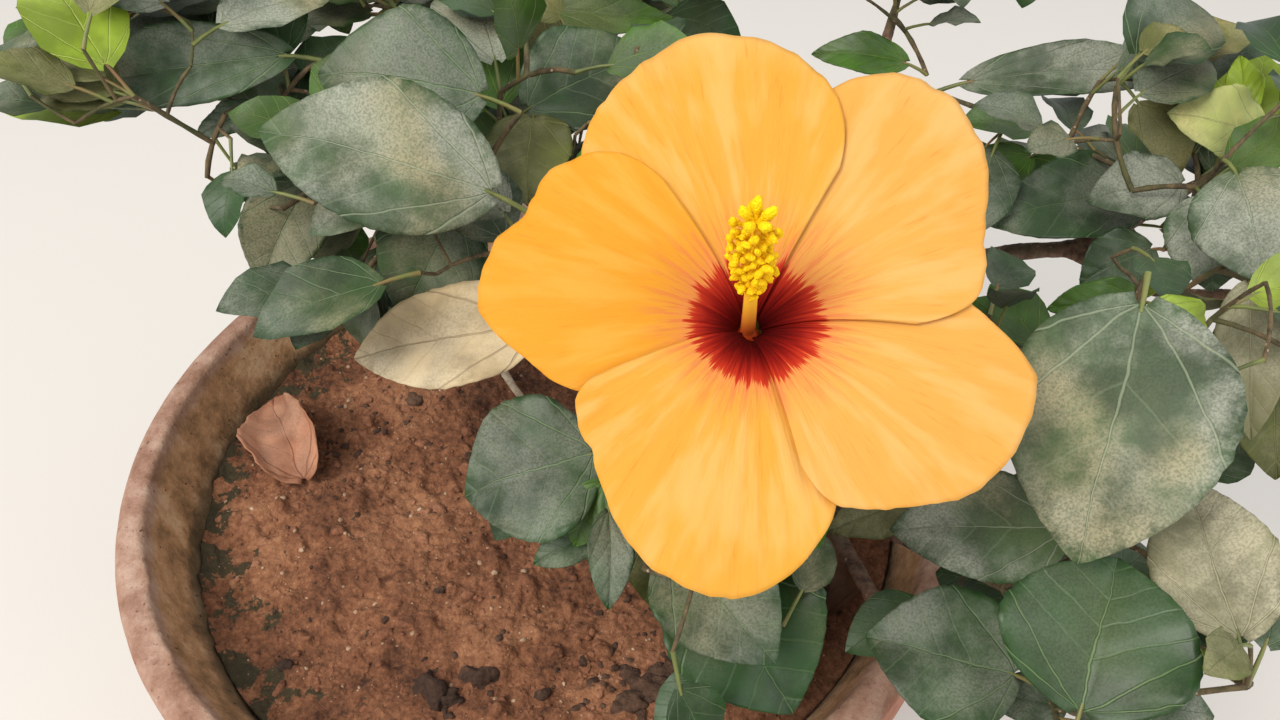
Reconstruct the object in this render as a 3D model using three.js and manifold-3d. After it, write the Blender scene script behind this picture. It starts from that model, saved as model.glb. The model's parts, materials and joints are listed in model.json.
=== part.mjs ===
// A hibiscus shrub with one open bloom, growing in a round clay pot.
// Millimetres, +Z up. The origin is the centre of the pot's flat underside.
// The bare side of the soil faces -X and -Y, and the bloom looks up and towards -Y.
import * as THREE from "three";
import { mergeVertices } from "three/addons/utils/BufferGeometryUtils.js";
import Module from "manifold-3d";

const wasm = await Module();
wasm.setup();

// Pot and soil
const POT_HEIGHT = 290;
const RIM_RADIUS = 175;
const CREST_RADIUS = 167; // top of the rounded rim
const FOOT_RADIUS = 108;
const COLLAR_HEIGHT = 38; // the thick band below the rim
const COLLAR_PROUD = 12; // how far the band stands out of the wall under it
const WALL = 12;
const SOIL_DROP = 32; // soil level below the rim
const POT_SIDES = 44;
const CLEAR = 0.3; // gap between pieces that rest on each other

// Trunk
const TRUNK_FOOT = [25, 10, -SOIL_DROP + CLEAR];
const TRUNK_TOP = [28, 18, 12];
const TRUNK_RADII = [13, 9];
const ROOT_FLARE = 5; // extra radius at soil level
const TRUNK_FORK = 30; // length of each fork that belongs to the trunk
const SIDE_FORK = 12; // length of each fork that belongs to a bough
const FORK_SWELL = 1.15; // a fork is thicker at its root
const LIMB_SIDES = 6;
const LIMB_STEPS = 2; // rings for each stretch between two points of a bough's route

// Main boughs: where each one comes from, the points it passes on its way (x, y, height above the rim) and its
// thickness, root to tip. The first point lies inside what carries it.
const BOUGHS = {
  front: { from: "trunk", radii: [4.2, 2.4], via: [[26, 12, -12], [34, -14, 6], [42, -42, 26]] },
  southeast: { from: "trunk", radii: [4.6, 2.6], via: [[26, 13, -5], [74, -16, 8], [124, -58, 20], [147, -86, 34]] },
  east: { from: "trunk", radii: [4.8, 2.6], via: [[27, 15, 4], [86, 6, 26], [148, -8, 52], [180, -26, 76]] },
  northeast: { from: "trunk", radii: [6, 3.2], via: [[27, 15, -8], [92, 50, 8], [190, 71, 38], [236, 68, 50], [262, 66, 75]] },
  back_right: { from: "trunk", radii: [4.8, 2.6], via: [[28, 17, 1], [84, 58, 30], [140, 116, 66], [157, 160, 104]] },
  centre: { from: "trunk", radii: [5.6, 2.6], via: [[28, 18, 10], [14, 42, 48], [2, 58, 82]] },
  west: { from: "trunk", radii: [4.8, 2.6], via: [[27, 17, 2], [-4, 22, 40], [-26, 14, 76]] },
  bloom: { from: "east", radii: [3.6, 2.4], via: [[62, 12, 14], [70, 4, 38], [66, -4, 56]] },
  south: { from: "southeast", radii: [3.4, 2.4], via: [[108, -44, 16], [128, -112, 20], [134, -150, 26]] },
  far_east: { from: "northeast", radii: [3.4, 2.4], via: [[228, 69, 48], [260, 42, 46], [294, 18, 64]] },
  back: { from: "centre", radii: [3.8, 2.4], via: [[15.4, 39.8, 44.2], [40, 86, 66], [24, 134, 106]] },
  northwest: { from: "centre", radii: [3.6, 2.4], via: [[9.6, 48.6, 61.5], [-18, 92, 78], [-62, 142, 112]] },
  far_west: { from: "west", radii: [3.8, 2.4], via: [[6, 21, 29], [-46, 52, 48], [-108, 84, 84]] },
};

// Masses of foliage: the centre of each one's space, how far it reaches each way, its seed, the number of twigs it
// tries, and its large leaves: the blade's foot, its tip and its width.
const MASSES = {
  front: {
    centre: [42, -92, 42], reach: [80, 66, 46], seed: 11, twigs: 8,
    large: [
      [[24, -57, 57], [-21, -66, 45], 52],
      [[28, -68, 55], [18, -82, 37], 16],
      [[26, -74, 36], [3, -83, 28], 15],
      [[30, -80, 54], [30, -106, 36], 15],
      [[51, -96, 56], [81, -132, 49], 39],
      [[65, -89, 38], [89, -134, 20], 54],
      [[134, -72, 50], [103, -84, 49], 18],
    ],
  },
  southeast: {
    centre: [172, -112, 46], reach: [78, 66, 54], seed: 23, twigs: 7,
    large: [
      [[176, -92, 62], [123, -86, 53], 36],
      [[166, -149, 54], [184, -110, 72], 54],
      [[160, -125, 29], [114, -113, 32], 45],
      [[217, -129, 60], [212, -84, 77], 36],
      [[224, -121, 42], [214, -82, 50], 14],
      [[180, -127, 12], [154, -124, 14], 18],
    ],
  },
  east: {
    centre: [216, -34, 84], reach: [70, 74, 74], seed: 37, twigs: 8,
    large: [
      [[186, -64, 132], [166, -118, 81], 60],
      [[194, -56, 124], [217, -55, 111], 14],
      [[251, -18, 100], [245, -62, 70], 22],
      [[262, -14, 86], [259, -66, 54], 40],
      [[226, -8, 68], [205, -12, 56], 18],
      [[232, 6, 72], [198, 8, 66], 18],
    ],
  },
  northeast: {
    centre: [246, 66, 96], reach: [84, 78, 66], seed: 41, twigs: 8,
    large: [
      [[242, 30, 78], [216, 24, 65], 26],
      [[250, 14, 124], [256, -20, 102], 40],
      [[253, 30, 102], [254, 2, 80], 32],
      [[254, 48, 96], [217, 44, 91], 28],
      [[252, 70, 76], [184, 55, 72], 38],
      [[190, 131, 94], [280, 111, 109], 24],
      [[280, 54, 114], [244, 60, 121], 28],
      [[276, 62, 116], [277, 84, 132], 13],
    ],
  },
  far_east: { centre: [322, 2, 84], reach: [64, 84, 70], seed: 53, twigs: 12, large: [] },
  south: { centre: [140, -196, 26], reach: [78, 60, 46], seed: 61, twigs: 13, large: [] },
  back_right: {
    centre: [184, 188, 162], reach: [84, 78, 62], seed: 71, twigs: 12,
    large: [[[159, 130, 104], [118, 138, 104], 18]],
  },
  back: {
    centre: [22, 172, 132], reach: [80, 78, 70], seed: 83, twigs: 12,
    large: [[[-20, 150, 119], [56, 148, 115], 22]],
  },
  centre: {
    centre: [8, 72, 124], reach: [70, 64, 64], seed: 97, twigs: 9,
    large: [
      [[-3, 65, 120], [42, 88, 131], 42],
      [[-1, 59, 119], [-1, 22, 105], 33],
    ],
  },
  west: {
    centre: [-52, 12, 108], reach: [78, 66, 62], seed: 103, twigs: 8,
    large: [
      [[-10, -2, 128], [-86, 8, 146], 50],
      [[-16, 35, 143], [-72, 37, 150], 48],
      [[-28, 20, 104], [-46, -11, 78], 40],
      [[-84, 32, 108], [-99, 0, 84], 31],
      [[2, -16, 80], [-63, -24, 71], 38],
    ],
  },
  far_west: {
    centre: [-148, 88, 112], reach: [84, 80, 64], seed: 113, twigs: 12,
    large: [
      [[-100, 84, 132], [-190, 77, 118], 32],
      [[-116, 82, 110], [-141, 74, 102], 13],
    ],
  },
  northwest: { centre: [-94, 192, 146], reach: [90, 80, 70], seed: 127, twigs: 13, large: [] },
};

// Twigs and leaves
const TWIG_TIP_RADIUS = 1.9;
const TWIG_STEP = 24; // longest straight piece of a twig
const TWIG_SHARE = [0.3, 0.64]; // how far out twigs end, as a share of the mass's reach
const SHORTEST_TWIG = 12;
const START_TRIES = 5; // places that a twig tries to start from
const LEAST_SLANT = THREE.MathUtils.degToRad(45); // between a twig and the side twig that leaves it
const END_TURN = THREE.MathUtils.degToRad(70); // a free end goes on into what turns off less than this
const BAD_SLANT_COST = 60; // a place with less slant is taken only where the next one is this much further
const STEM = 20; // the mass's own stem, past the bough's tip
const WOOD_STEP = 7; // places on a twig where another can start
const NECK = 6; // from a twig's root to its first full ring
const BUD = 2; // the pointed end of a twig that carries nothing there
const SEAT = 3; // length of the place on a twig that a stalk grows out of
const LEAF_SPACING = 20;
const LEAF_TRIES = 9;
const TRY_TURN = 1.7; // each new try is turned by this round the twig
const LEAF_MARGIN = 3;
const LEAF_LENGTH = [46, 74]; // shortest and longest blade that the growing rule makes
const LEAF_WIDTH = [0.66, 0.86]; // as a share of the blade's length
const STALK = 14; // a leaf's own stalk
const LEAF_THICKNESS = 1.6; // at the midrib
const LEAF_ARCH = 0.08; // rise of the midrib's middle, as a share of the length
const LEAF_FOLD = 0.2; // rise of the edges, as a share of the half width
// Rows across a blade: share of its length, and half width as a share of its width
const LEAF_ROWS = [[0, 0.04], [0.24, 0.45], [0.64, 0.45]];
const LARGE_LEAF_ROWS = [[0, 0.04], [0.18, 0.4], [0.5, 0.5], [0.82, 0.32]];
const TIP_ROW = [1, 0.02];
const TURN = THREE.MathUtils.degToRad(137.5); // from one leaf to the next round the twig
const SPACE_MARGIN = 1; // from the side of a mass's space
const LIMB_MARGIN = 3;
const VIEW_SIDE = [40, -280, 326]; // the large leaves, the bloom and the bare ground stay open towards this place
// Ground at the soil's height that no leaf covers, seen from there: to the left of and in front of each place
const BARE_GROUND = [[40, -60], [-3, -38], [-42, 46], [-226, 292]];

// Bloom
const BLOOM_THROAT = [72, -67, 123];
const BLOOM_AXIS = new THREE.Vector3(0, -0.485, 0.875).normalize();
const FUNNEL_DEPTH = 30;
const FUNNEL_RADIUS = 14; // the funnel's depth is reached by this radius, on a curve
const PETAL_ROOT = 4.2; // radius at which the petals start, close round the column
const PETAL_THICKNESS = 1;
const PETAL_TILT = 1.5; // each petal's leading edge rises by this over the next petal
const PETAL_ROWS = 6;
const PETAL_COLUMNS = 9;
const PETAL_RUFFLE = 1.6;
const PETAL_DROOP = 4; // fall of the petals' outer edge
const BLOOM_RADIUS = 88;
// Each petal's edge as angle: radius round the throat, anticlockwise, 0 pointing to +X
const PETALS = {
  top: [[60, 50], [64, 60], [73, 72], [85, 80], [100, 86], [112, 80], [124, 74], [138, 66], [146, 54]],
  upper_right: [[-10, 44], [-2, 56], [6, 60], [20, 67], [34, 78], [50, 85], [62, 81], [74, 68], [84, 54]],
  lower_right: [[-78, 46], [-70, 58], [-58, 65], [-42, 74], [-26, 76], [-12, 74], [-2, 60], [8, 52]],
  bottom: [[-155, 48], [-146, 57], [-130, 63], [-114, 75], [-98, 77], [-84, 70], [-72, 56], [-62, 48]],
  left: [[126, 46], [132, 60], [144, 68], [158, 68], [172, 75], [184, 74], [196, 60], [208, 50]],
};
const COLUMN_LENGTH = 60;
const COLUMN_RADII = [2.6, 1.7];
const COLUMN_BEND = 10; // how far the tip leans back up
const COLUMN_LEAN = -4; // how far it leans to its right
const ANTHER_ZONE = [0.5, 0.95]; // shares of the column's length
const ANTHERS = 18;
const ANTHER_SIZE = 1.7;
const FILAMENT = 6;
const STIGMAS = 5;
const STALK_RADII = [2.4, 2.2];
const CALYX_RADIUS = 9;
const CALYX_LENGTH = 24;

// Points and small helpers

const point = (x, y, z) => new THREE.Vector3(x, y, z);
const above = ([x, y, height]) => point(x, y, POT_HEIGHT + height); // height counts from the rim

// Evenly spread numbers from 0 to 1, the same on every run
function seeded(seed) {
  let state = seed >>> 0;
  const next = () => {
    state = (Math.imul(state, 1664525) + 1013904223) >>> 0;
    return state / 4294967296;
  };
  next();
  next();
  return next;
}

const mix = (a, b, share) => a + (b - a) * share;

// A smooth value through [place, value] pairs, each stretch eased at both ends
function along(pairs, place) {
  let i = 0;
  while (i < pairs.length - 2 && place > pairs[i + 1][0]) i++;
  const [[a, low], [b, high]] = [pairs[i], pairs[i + 1]];
  return mix(low, high, Math.min(1, Math.max(0, (place - a) / (b - a))));
}

// A direction square to the given one
function squareTo(direction) {
  const other = Math.abs(direction.z) < 0.9 ? point(0, 0, 1) : point(1, 0, 0);
  return other.cross(direction).normalize();
}

// Solids

// A three.js geometry, or bare vertices and faces, as a solid with its faces pointing out
function solid(geometry) {
  const bare = geometry.clone();
  bare.deleteAttribute("normal");
  bare.deleteAttribute("uv");
  const merged = mergeVertices(bare, 1e-4);
  const triVerts = new Uint32Array(merged.index.array);
  const make = () =>
    new wasm.Manifold(
      new wasm.Mesh({ numProp: 3, vertProperties: merged.attributes.position.array, triVerts }),
    );
  const made = make();
  if (made.volume() > 0) return made;
  for (let i = 0; i < triVerts.length; i += 3) {
    [triVerts[i + 1], triVerts[i + 2]] = [triVerts[i + 2], triVerts[i + 1]];
  }
  return make();
}

function solidFrom(points, faces) {
  const geometry = new THREE.BufferGeometry().setFromPoints(points);
  geometry.setIndex(faces.flat());
  return solid(geometry);
}

// A skin over rings of equal count. Where first or last is given the skin closes there in a point, and otherwise
// with a flat end.
function loft(rings, first = null, last = null) {
  const count = rings[0].length;
  const points = rings.flat();
  const faces = [];
  rings.slice(1).forEach((_, r) => {
    for (let k = 0; k < count; k++) {
      const [a, b] = [r * count + k, r * count + ((k + 1) % count)];
      faces.push([a, b, b + count], [a, b + count, a + count]);
    }
  });
  const close = (end, from, turned) => {
    if (end) points.push(end);
    const hub = end ? points.length - 1 : from;
    for (let k = end ? 0 : 1; k < (end ? count : count - 1); k++) {
      const [a, b] = [from + k, from + ((k + 1) % count)];
      faces.push(turned ? [hub, b, a] : [hub, a, b]);
    }
  };
  close(first, 0, true);
  close(last, (rings.length - 1) * count, false);
  return solidFrom(points, faces);
}

// A round ring about a point, square to the way on; side is the ring's own zero direction
function ring(centre, way, side, radius, sides) {
  const other = way.clone().cross(side);
  return Array.from({ length: sides }, (_, k) => {
    const angle = (2 * Math.PI * k) / sides;
    return centre
      .clone()
      .addScaledVector(side, radius * Math.cos(angle))
      .addScaledVector(other, radius * Math.sin(angle));
  });
}

// Rings along a line of points, each with its own radius, without twist. ways are the line's directions there, and
// the first ring's zero direction is as near to the given one as it can be.
function ringsAlong(points, radii, sides, ways = null, zero = null) {
  let side = zero;
  return points.map((centre, i) => {
    const [next, last] = [points[Math.min(i + 1, points.length - 1)], points[Math.max(i - 1, 0)]];
    const way = ways ? ways[i] : next.clone().sub(last).normalize();
    side = side ? side.clone().addScaledVector(way, -side.dot(way)).normalize() : squareTo(way);
    return ring(centre, way, side, radii[i], sides);
  });
}

// The biggest body of a solid: loose scraps are dropped and sealed hollows filled
function oneBody(made) {
  return made
    .decompose()
    .sort((a, b) => b.volume() - a.volume())
    .at(0);
}

const shrub = new THREE.Group();

function addNode(name, made, material) {
  const mesh = oneBody(made).getMesh();
  const geometry = new THREE.BufferGeometry();
  geometry.setAttribute("position", new THREE.BufferAttribute(mesh.vertProperties, mesh.numProp));
  geometry.setIndex(new THREE.BufferAttribute(mesh.triVerts, 1));
  geometry.computeVertexNormals();
  const node = new THREE.Mesh(geometry, material);
  node.name = name;
  shrub.add(node);
}

const finish = (color, roughness) => new THREE.MeshStandardMaterial({ color, roughness, metalness: 0 });
const CLAY = finish(0xb5744f, 0.9);
const EARTH = finish(0x7a5238, 1);
const BARK = finish(0x6d4a3a, 0.85);
const GREEN = finish(0x4d6b45, 0.6);
const PETAL = finish(0xf7b23c, 0.55);
const POLLEN = finish(0xf6d21b, 0.7);
const CALYX_GREEN = finish(0x6f8f3f, 0.6);

// Pot: one turned profile, from the underside up the outside, over the rim and down the inside

const FLOOR_HEIGHT = WALL + 2;
const NECK_HEIGHT = POT_HEIGHT - COLLAR_HEIGHT;
const NECK_RADIUS = RIM_RADIUS - COLLAR_PROUD;
const SOIL_HEIGHT = POT_HEIGHT - SOIL_DROP;

// The wall's inside, from the soil down to the floor of the pot: [radius, height]
const INSIDE = [
  [151, SOIL_HEIGHT],
  [NECK_RADIUS - WALL - 4, NECK_HEIGHT - 30],
  [FOOT_RADIUS - WALL, FLOOR_HEIGHT],
];

function buildPot() {
  const profile = [
    [0, 0],
    [FOOT_RADIUS - 3, 0],
    [FOOT_RADIUS, 4],
    [NECK_RADIUS, NECK_HEIGHT - 4],
    [RIM_RADIUS - 5, NECK_HEIGHT],
    [RIM_RADIUS - 0.5, NECK_HEIGHT + 7],
    [RIM_RADIUS, POT_HEIGHT - 14],
    [RIM_RADIUS - 1.5, POT_HEIGHT - 4],
    [RIM_RADIUS - 4.5, POT_HEIGHT - 0.6],
    [CREST_RADIUS, POT_HEIGHT],
    [CREST_RADIUS - 4, POT_HEIGHT - 3],
    [CREST_RADIUS - 9, POT_HEIGHT - 15],
    ...INSIDE,
    [0, FLOOR_HEIGHT],
  ].map(([radius, height]) => new THREE.Vector2(radius, height));
  const turned = new THREE.LatheGeometry(profile, POT_SIDES);
  turned.rotateX(Math.PI / 2);
  addNode("pot", solid(turned), CLAY);
}

// Soil: it fills the pot to its level, with low lumps, and lies flat where the trunk stands

const SOIL_RINGS = [24, 66, 108];
const SOIL_LUMP = 3;

const lump = (x, y) => SOIL_LUMP * (0.6 * Math.sin(x / 19 + 1) * Math.cos(y / 23) + 0.4 * Math.sin((x + 2 * y) / 31));

function buildSoil() {
  const [[topRadius, topHeight], ...below] = INSIDE;
  const profile = [
    [0, FLOOR_HEIGHT + CLEAR],
    ...below.toReversed().map(([radius, height], i) => [radius - 2 * CLEAR, i ? height : height + CLEAR]),
    [topRadius - 2 * CLEAR, topHeight - 1],
    ...SOIL_RINGS.toReversed().map((radius) => [radius, topHeight]),
    [0, topHeight],
  ].map(([radius, height]) => new THREE.Vector2(radius, height));
  const turned = new THREE.LatheGeometry(profile, POT_SIDES);
  turned.rotateX(Math.PI / 2);
  const places = turned.attributes.position;
  for (let i = 0; i < places.count; i++) {
    const [x, y] = [places.getX(i), places.getY(i)];
    const [radius, fromTrunk] = [Math.hypot(x, y), Math.hypot(x - TRUNK_FOOT[0], y - TRUNK_FOOT[1])];
    const open = places.getZ(i) > SOIL_HEIGHT - 0.5 && radius > SOIL_RINGS[0] + 1 && fromTrunk > 44;
    if (open) places.setZ(i, SOIL_HEIGHT + lump(x, y));
  }
  addNode("soil", solid(turned), EARTH);
}

// Limbs

const curveOf = (via) => new THREE.CatmullRomCurve3(via.map(above), false, "catmullrom", 0.5);

// The share of a curve at which a given length has been run
function shareAt(curve, length) {
  const steps = 400;
  let [run, last] = [0, curve.getPoint(0)];
  for (let i = 1; i <= steps; i++) {
    const next = curve.getPoint(i / steps);
    run += next.distanceTo(last);
    if (run >= length) return i / steps;
    last = next;
  }
  return 1;
}

function limb(curve, from, to, [root, tip], sides, steps) {
  const shares = Array.from({ length: steps + 1 }, (_, i) => mix(from, to, i / steps));
  const radii = shares.map((share) => mix(root, tip, share));
  const [points, ways] = [shares.map((at) => curve.getPoint(at)), shares.map((at) => curve.getTangent(at))];
  return loft(ringsAlong(points, radii, sides, ways));
}

// What a curve holds at its root and past it: the fork fused to its carrier, and where the bough itself starts
function forks(carrier) {
  return Object.values(BOUGHS)
    .filter((bough) => bough.from === carrier)
    .map(({ from, via, radii }) => {
      const curve = curveOf(via);
      const fork = shareAt(curve, from === "trunk" ? TRUNK_FORK : SIDE_FORK);
      return limb(curve, 0, fork, [radii[0] * FORK_SWELL, radii[0]], LIMB_SIDES, 2);
    });
}

function buildTrunk() {
  const [foot, top] = [above(TRUNK_FOOT), above(TRUNK_TOP)];
  const rows = [0, 0.12, 0.3, 0.6, 1];
  const flare = [1, 0.45, 0.15, 0, 0];
  const points = rows.map((share) => foot.clone().lerp(top, share));
  points[1].x = foot.x;
  points[1].y = foot.y;
  const radii = rows.map((share, i) => mix(...TRUNK_RADII, share) + ROOT_FLARE * flare[i]);
  const rings = ringsAlong(points, radii, 14);
  rings[0].forEach((place, k) => {
    place.z = foot.z;
    const ridge = 1 + 0.12 * Math.cos((k * 2 * Math.PI * 4) / 14);
    place.x = mix(foot.x, place.x, ridge);
    place.y = mix(foot.y, place.y, ridge);
  });
  const crown = above([TRUNK_TOP[0], TRUNK_TOP[1], TRUNK_TOP[2] + 5]);
  addNode("trunk", wasm.Manifold.union([loft(rings, null, crown), ...forks("trunk")]), BARK);
}

function buildBoughs() {
  for (const [name, { from, via, radii }] of Object.entries(BOUGHS)) {
    const curve = curveOf(via);
    const fork = (from === "trunk" ? TRUNK_FORK : SIDE_FORK) + CLEAR;
    const steps = LIMB_STEPS * (via.length - 1) + 1;
    const made = limb(curve, shareAt(curve, fork), 1, radii, LIMB_SIDES, steps);
    addNode("bough_" + name, wasm.Manifold.union([made, ...forks(name)]), BARK);
  }
}

// Places on every limb that leaves and twigs keep clear of
const limbPlaces = Object.values(BOUGHS).flatMap(({ via, radii }) => {
  const curve = curveOf(via);
  const count = Math.ceil(curve.getLength() / 7);
  return Array.from({ length: count + 1 }, (_, i) => ({
    place: curve.getPoint(i / count),
    radius: mix(...radii, i / count),
  }));
});

// The bloom's own frame: right across it, up it, and out of it

const throat = above(BLOOM_THROAT);
const bloomRight = point(1, 0, 0);
const bloomUp = BLOOM_AXIS.clone().cross(bloomRight);
const funnel = (radius) => FUNNEL_DEPTH * (1 - Math.exp(-radius / FUNNEL_RADIUS));

function onBloom(right, up, out) {
  return throat
    .clone()
    .addScaledVector(bloomRight, right)
    .addScaledVector(bloomUp, up)
    .addScaledVector(BLOOM_AXIS, out);
}

// The stalk leaves the bough's tip and bends round into the calyx, behind the throat
const stalkCurve = (() => {
  const carrier = curveOf(BOUGHS.bloom.via);
  const way = carrier.getTangent(1);
  const start = carrier.getPoint(1).addScaledVector(way, CLEAR);
  const end = onBloom(0, 0, -CALYX_LENGTH);
  return new THREE.CubicBezierCurve3(
    start,
    start.clone().addScaledVector(way, 14),
    end.clone().addScaledVector(BLOOM_AXIS, -18),
    end,
  );
})();

for (let i = 0; i <= 10; i++) limbPlaces.push({ place: stalkCurve.getPoint(i / 10), radius: 3 });
for (let i = 0; i <= 4; i++) {
  limbPlaces.push({ place: onBloom(0, 0, mix(-CALYX_LENGTH, 8, i / 4)), radius: CALYX_RADIUS + 4 });
}

// Spaces

const viewSide = above(VIEW_SIDE);
const spaces = Object.entries(MASSES).map(([name, { centre, reach }]) => ({
  name,
  centre: above(centre),
  reach: point(...reach),
}));

function clearOfPot(place) {
  const [radius, height] = [Math.hypot(place.x, place.y), place.z - POT_HEIGHT];
  if (radius > RIM_RADIUS + 8) return height > -50;
  if (radius > CREST_RADIUS - 20) return height > 6;
  return height > -SOIL_DROP + 12;
}

// Clear of the petals, and not in front of the bloom as it is seen
function clearOfBloom(place) {
  const from = place.clone().sub(throat);
  const out = from.dot(BLOOM_AXIS);
  const radius = Math.sqrt(Math.max(0, from.lengthSq() - out * out));
  if (radius < BLOOM_RADIUS + 4 && out > funnel(radius) - 10) return false;
  const sight = place.clone().sub(viewSide);
  const face = onBloom(0, 0, FUNNEL_DEPTH * 0.7);
  const reach = face.clone().sub(viewSide).dot(BLOOM_AXIS) / sight.dot(BLOOM_AXIS);
  if (reach < 1) return true;
  return viewSide.clone().addScaledVector(sight, reach).distanceTo(face) > BLOOM_RADIUS + 4;
}

// Not in front of the bare ground as it is seen
function clearOfBareGround(place) {
  const sight = place.clone().sub(viewSide);
  if (sight.z >= 0) return true;
  const ground = viewSide.clone().addScaledVector(sight, (SOIL_HEIGHT - viewSide.z) / sight.z);
  return BARE_GROUND.every(([x, y]) => ground.x > x || ground.y > y);
}

// Inside its mass's own space: within its reach, on its own side of every neighbour, off the pot, the bloom and the
// bare ground
function inSpace(place, space, margin) {
  const from = place.clone().sub(space.centre);
  if (from.clone().divide(space.reach).lengthSq() > 1) return false;
  for (const other of spaces) {
    if (other === space) continue;
    const between = other.centre.clone().sub(space.centre);
    const width = between.length();
    if (from.dot(between) / width > width / 2 - margin) return false;
  }
  return clearOfPot(place) && clearOfBloom(place) && clearOfBareGround(place);
}

const clearOfLimbs = (place, gap) =>
  limbPlaces.every((at) => at.place.distanceTo(place) > at.radius + gap);

// Leaves

// A leaf from its root on the twig, its blade's foot and tip, its width and the way its face looks
function makeLeaf(root, foot, tip, width, face, rows = LEAF_ROWS) {
  const way = tip.clone().sub(foot);
  const length = way.length();
  way.normalize();
  const side = way.clone().cross(face).normalize();
  const normal = side.clone().cross(way);
  const leaf = { root, foot, tip, way, side, normal, length, width, rows, middle: foot.clone().lerp(tip, 0.5) };
  leaf.stalk = [0.45, 0.75, 1].map((share) => root.clone().lerp(foot, share));
  leaf.places = leafPlaces(leaf);
  return leaf;
}

// A point of the blade at a share of its length, so far to one side, and so far off its face
function onLeaf(leaf, share, across, off = 0) {
  const rise = LEAF_ARCH * leaf.length * Math.sin(Math.PI * share) + LEAF_FOLD * Math.abs(across);
  return leaf.foot
    .clone()
    .addScaledVector(leaf.way, share * leaf.length)
    .addScaledVector(leaf.side, across)
    .addScaledVector(leaf.normal, rise + off);
}

const leafRings = (leaf) =>
  leaf.rows.map(([share, half]) => [
    onLeaf(leaf, share, -half * leaf.width),
    onLeaf(leaf, share, 0, LEAF_THICKNESS / 2),
    onLeaf(leaf, share, half * leaf.width),
    onLeaf(leaf, share, 0, -LEAF_THICKNESS / 2),
  ]);

// Places all over a leaf, at which it is tested
function leafPlaces(leaf) {
  const outline = [...leaf.rows, TIP_ROW];
  const blade = [0.12, 0.28, 0.44, 0.6, 0.76, 0.9].flatMap((share) => {
    const half = along(outline, share) * leaf.width;
    return [-1, -0.5, 0, 0.5, 1].map((part) => onLeaf(leaf, share, part * half));
  });
  return [...leaf.stalk, ...blade, leaf.tip];
}

// Whether a point comes within the gap of a leaf's blade
function meetsLeaf(leaf, place, gap) {
  const from = place.clone().sub(leaf.foot);
  const share = from.dot(leaf.way) / leaf.length;
  const edge = gap / leaf.length;
  if (share < -edge || share > 1 + edge) return false;
  const across = from.dot(leaf.side);
  if (Math.abs(across) > along([...leaf.rows, TIP_ROW], share) * leaf.width + gap) return false;
  const rise = LEAF_ARCH * leaf.length * Math.sin(Math.PI * share) + LEAF_FOLD * Math.abs(across);
  return Math.abs(from.dot(leaf.normal) - rise) < gap;
}

const leavesMeet = (a, b, gap) =>
  a.middle.distanceTo(b.middle) < (a.length + b.length) / 2 + gap &&
  (a.places.some((place) => meetsLeaf(b, place, gap)) || b.places.some((place) => meetsLeaf(a, place, gap)));

// Whether leaf hides a large one from the side that the shrub shows
function hides(leaf, large) {
  const [near, far] = [leaf.middle.clone().sub(viewSide), large.middle.clone().sub(viewSide)];
  if (near.length() > far.length() + 4) return false;
  const spread = (leaf.length + leaf.width + large.length + large.width) / 4;
  return near.angleTo(far) < (0.72 * spread) / far.length();
}

// The large leaves of every mass, with the twig end that carries each one
const largeLeaves = Object.fromEntries(
  Object.entries(MASSES).map(([name, { large }]) => [
    name,
    large.map(([foot, tip, width]) => {
      const [from, to] = [above(foot), above(tip)];
      const back = from.clone().sub(to).normalize();
      const root = from.clone().addScaledVector(back, Math.min(STALK, from.distanceTo(to) / 4));
      root.z -= 5;
      const face = viewSide.clone().sub(from).normalize().add(point(0, 0, 0.5));
      return makeLeaf(root, from, to, width, face, LARGE_LEAF_ROWS);
    }),
  ]),
);

// Growth

// Ends for a mass's own twigs, spread evenly round the middle of its space
function twigEnds(space, { twigs, seed }) {
  const random = seeded(seed);
  return Array.from({ length: twigs }, (_, i) => {
    const height = 1 - (2 * (i + 0.5)) / twigs;
    const angle = i * 2.4 + seed;
    const flat = Math.sqrt(1 - height * height);
    const away = point(flat * Math.cos(angle), flat * Math.sin(angle), height);
    return space.centre.clone().addScaledVector(away.multiply(space.reach), mix(...TWIG_SHARE, random()));
  }).filter((place) => inSpace(place, space, 8));
}

// A twig: its line, its length, its thickness at root and tip, what grows out of its sides, each at a length from
// its root, and what goes on from its end
const makeTwig = (curve, radii) => ({ curve, length: curve.getLength(), radii, grown: [], end: null });

function woodOf(twig) {
  const steps = Math.max(1, Math.ceil(twig.length / WOOD_STEP));
  return Array.from({ length: steps }, (_, i) => {
    const share = (i + 1) / steps;
    return {
      twig,
      at: share * twig.length,
      place: twig.curve.getPointAt(share),
      way: twig.curve.getTangentAt(share),
      radius: mix(...twig.radii, share),
    };
  });
}

const isFreeEnd = ({ twig, at }) => at === twig.length && !twig.end;

// A free end goes on into what turns off little there, and anything else grows out of a side
function attach(at, way, what) {
  if (isFreeEnd(at) && at.way.angleTo(way) < END_TURN) at.twig.end = what;
  else at.twig.grown.push({ at: at.at, ...what });
}

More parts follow.
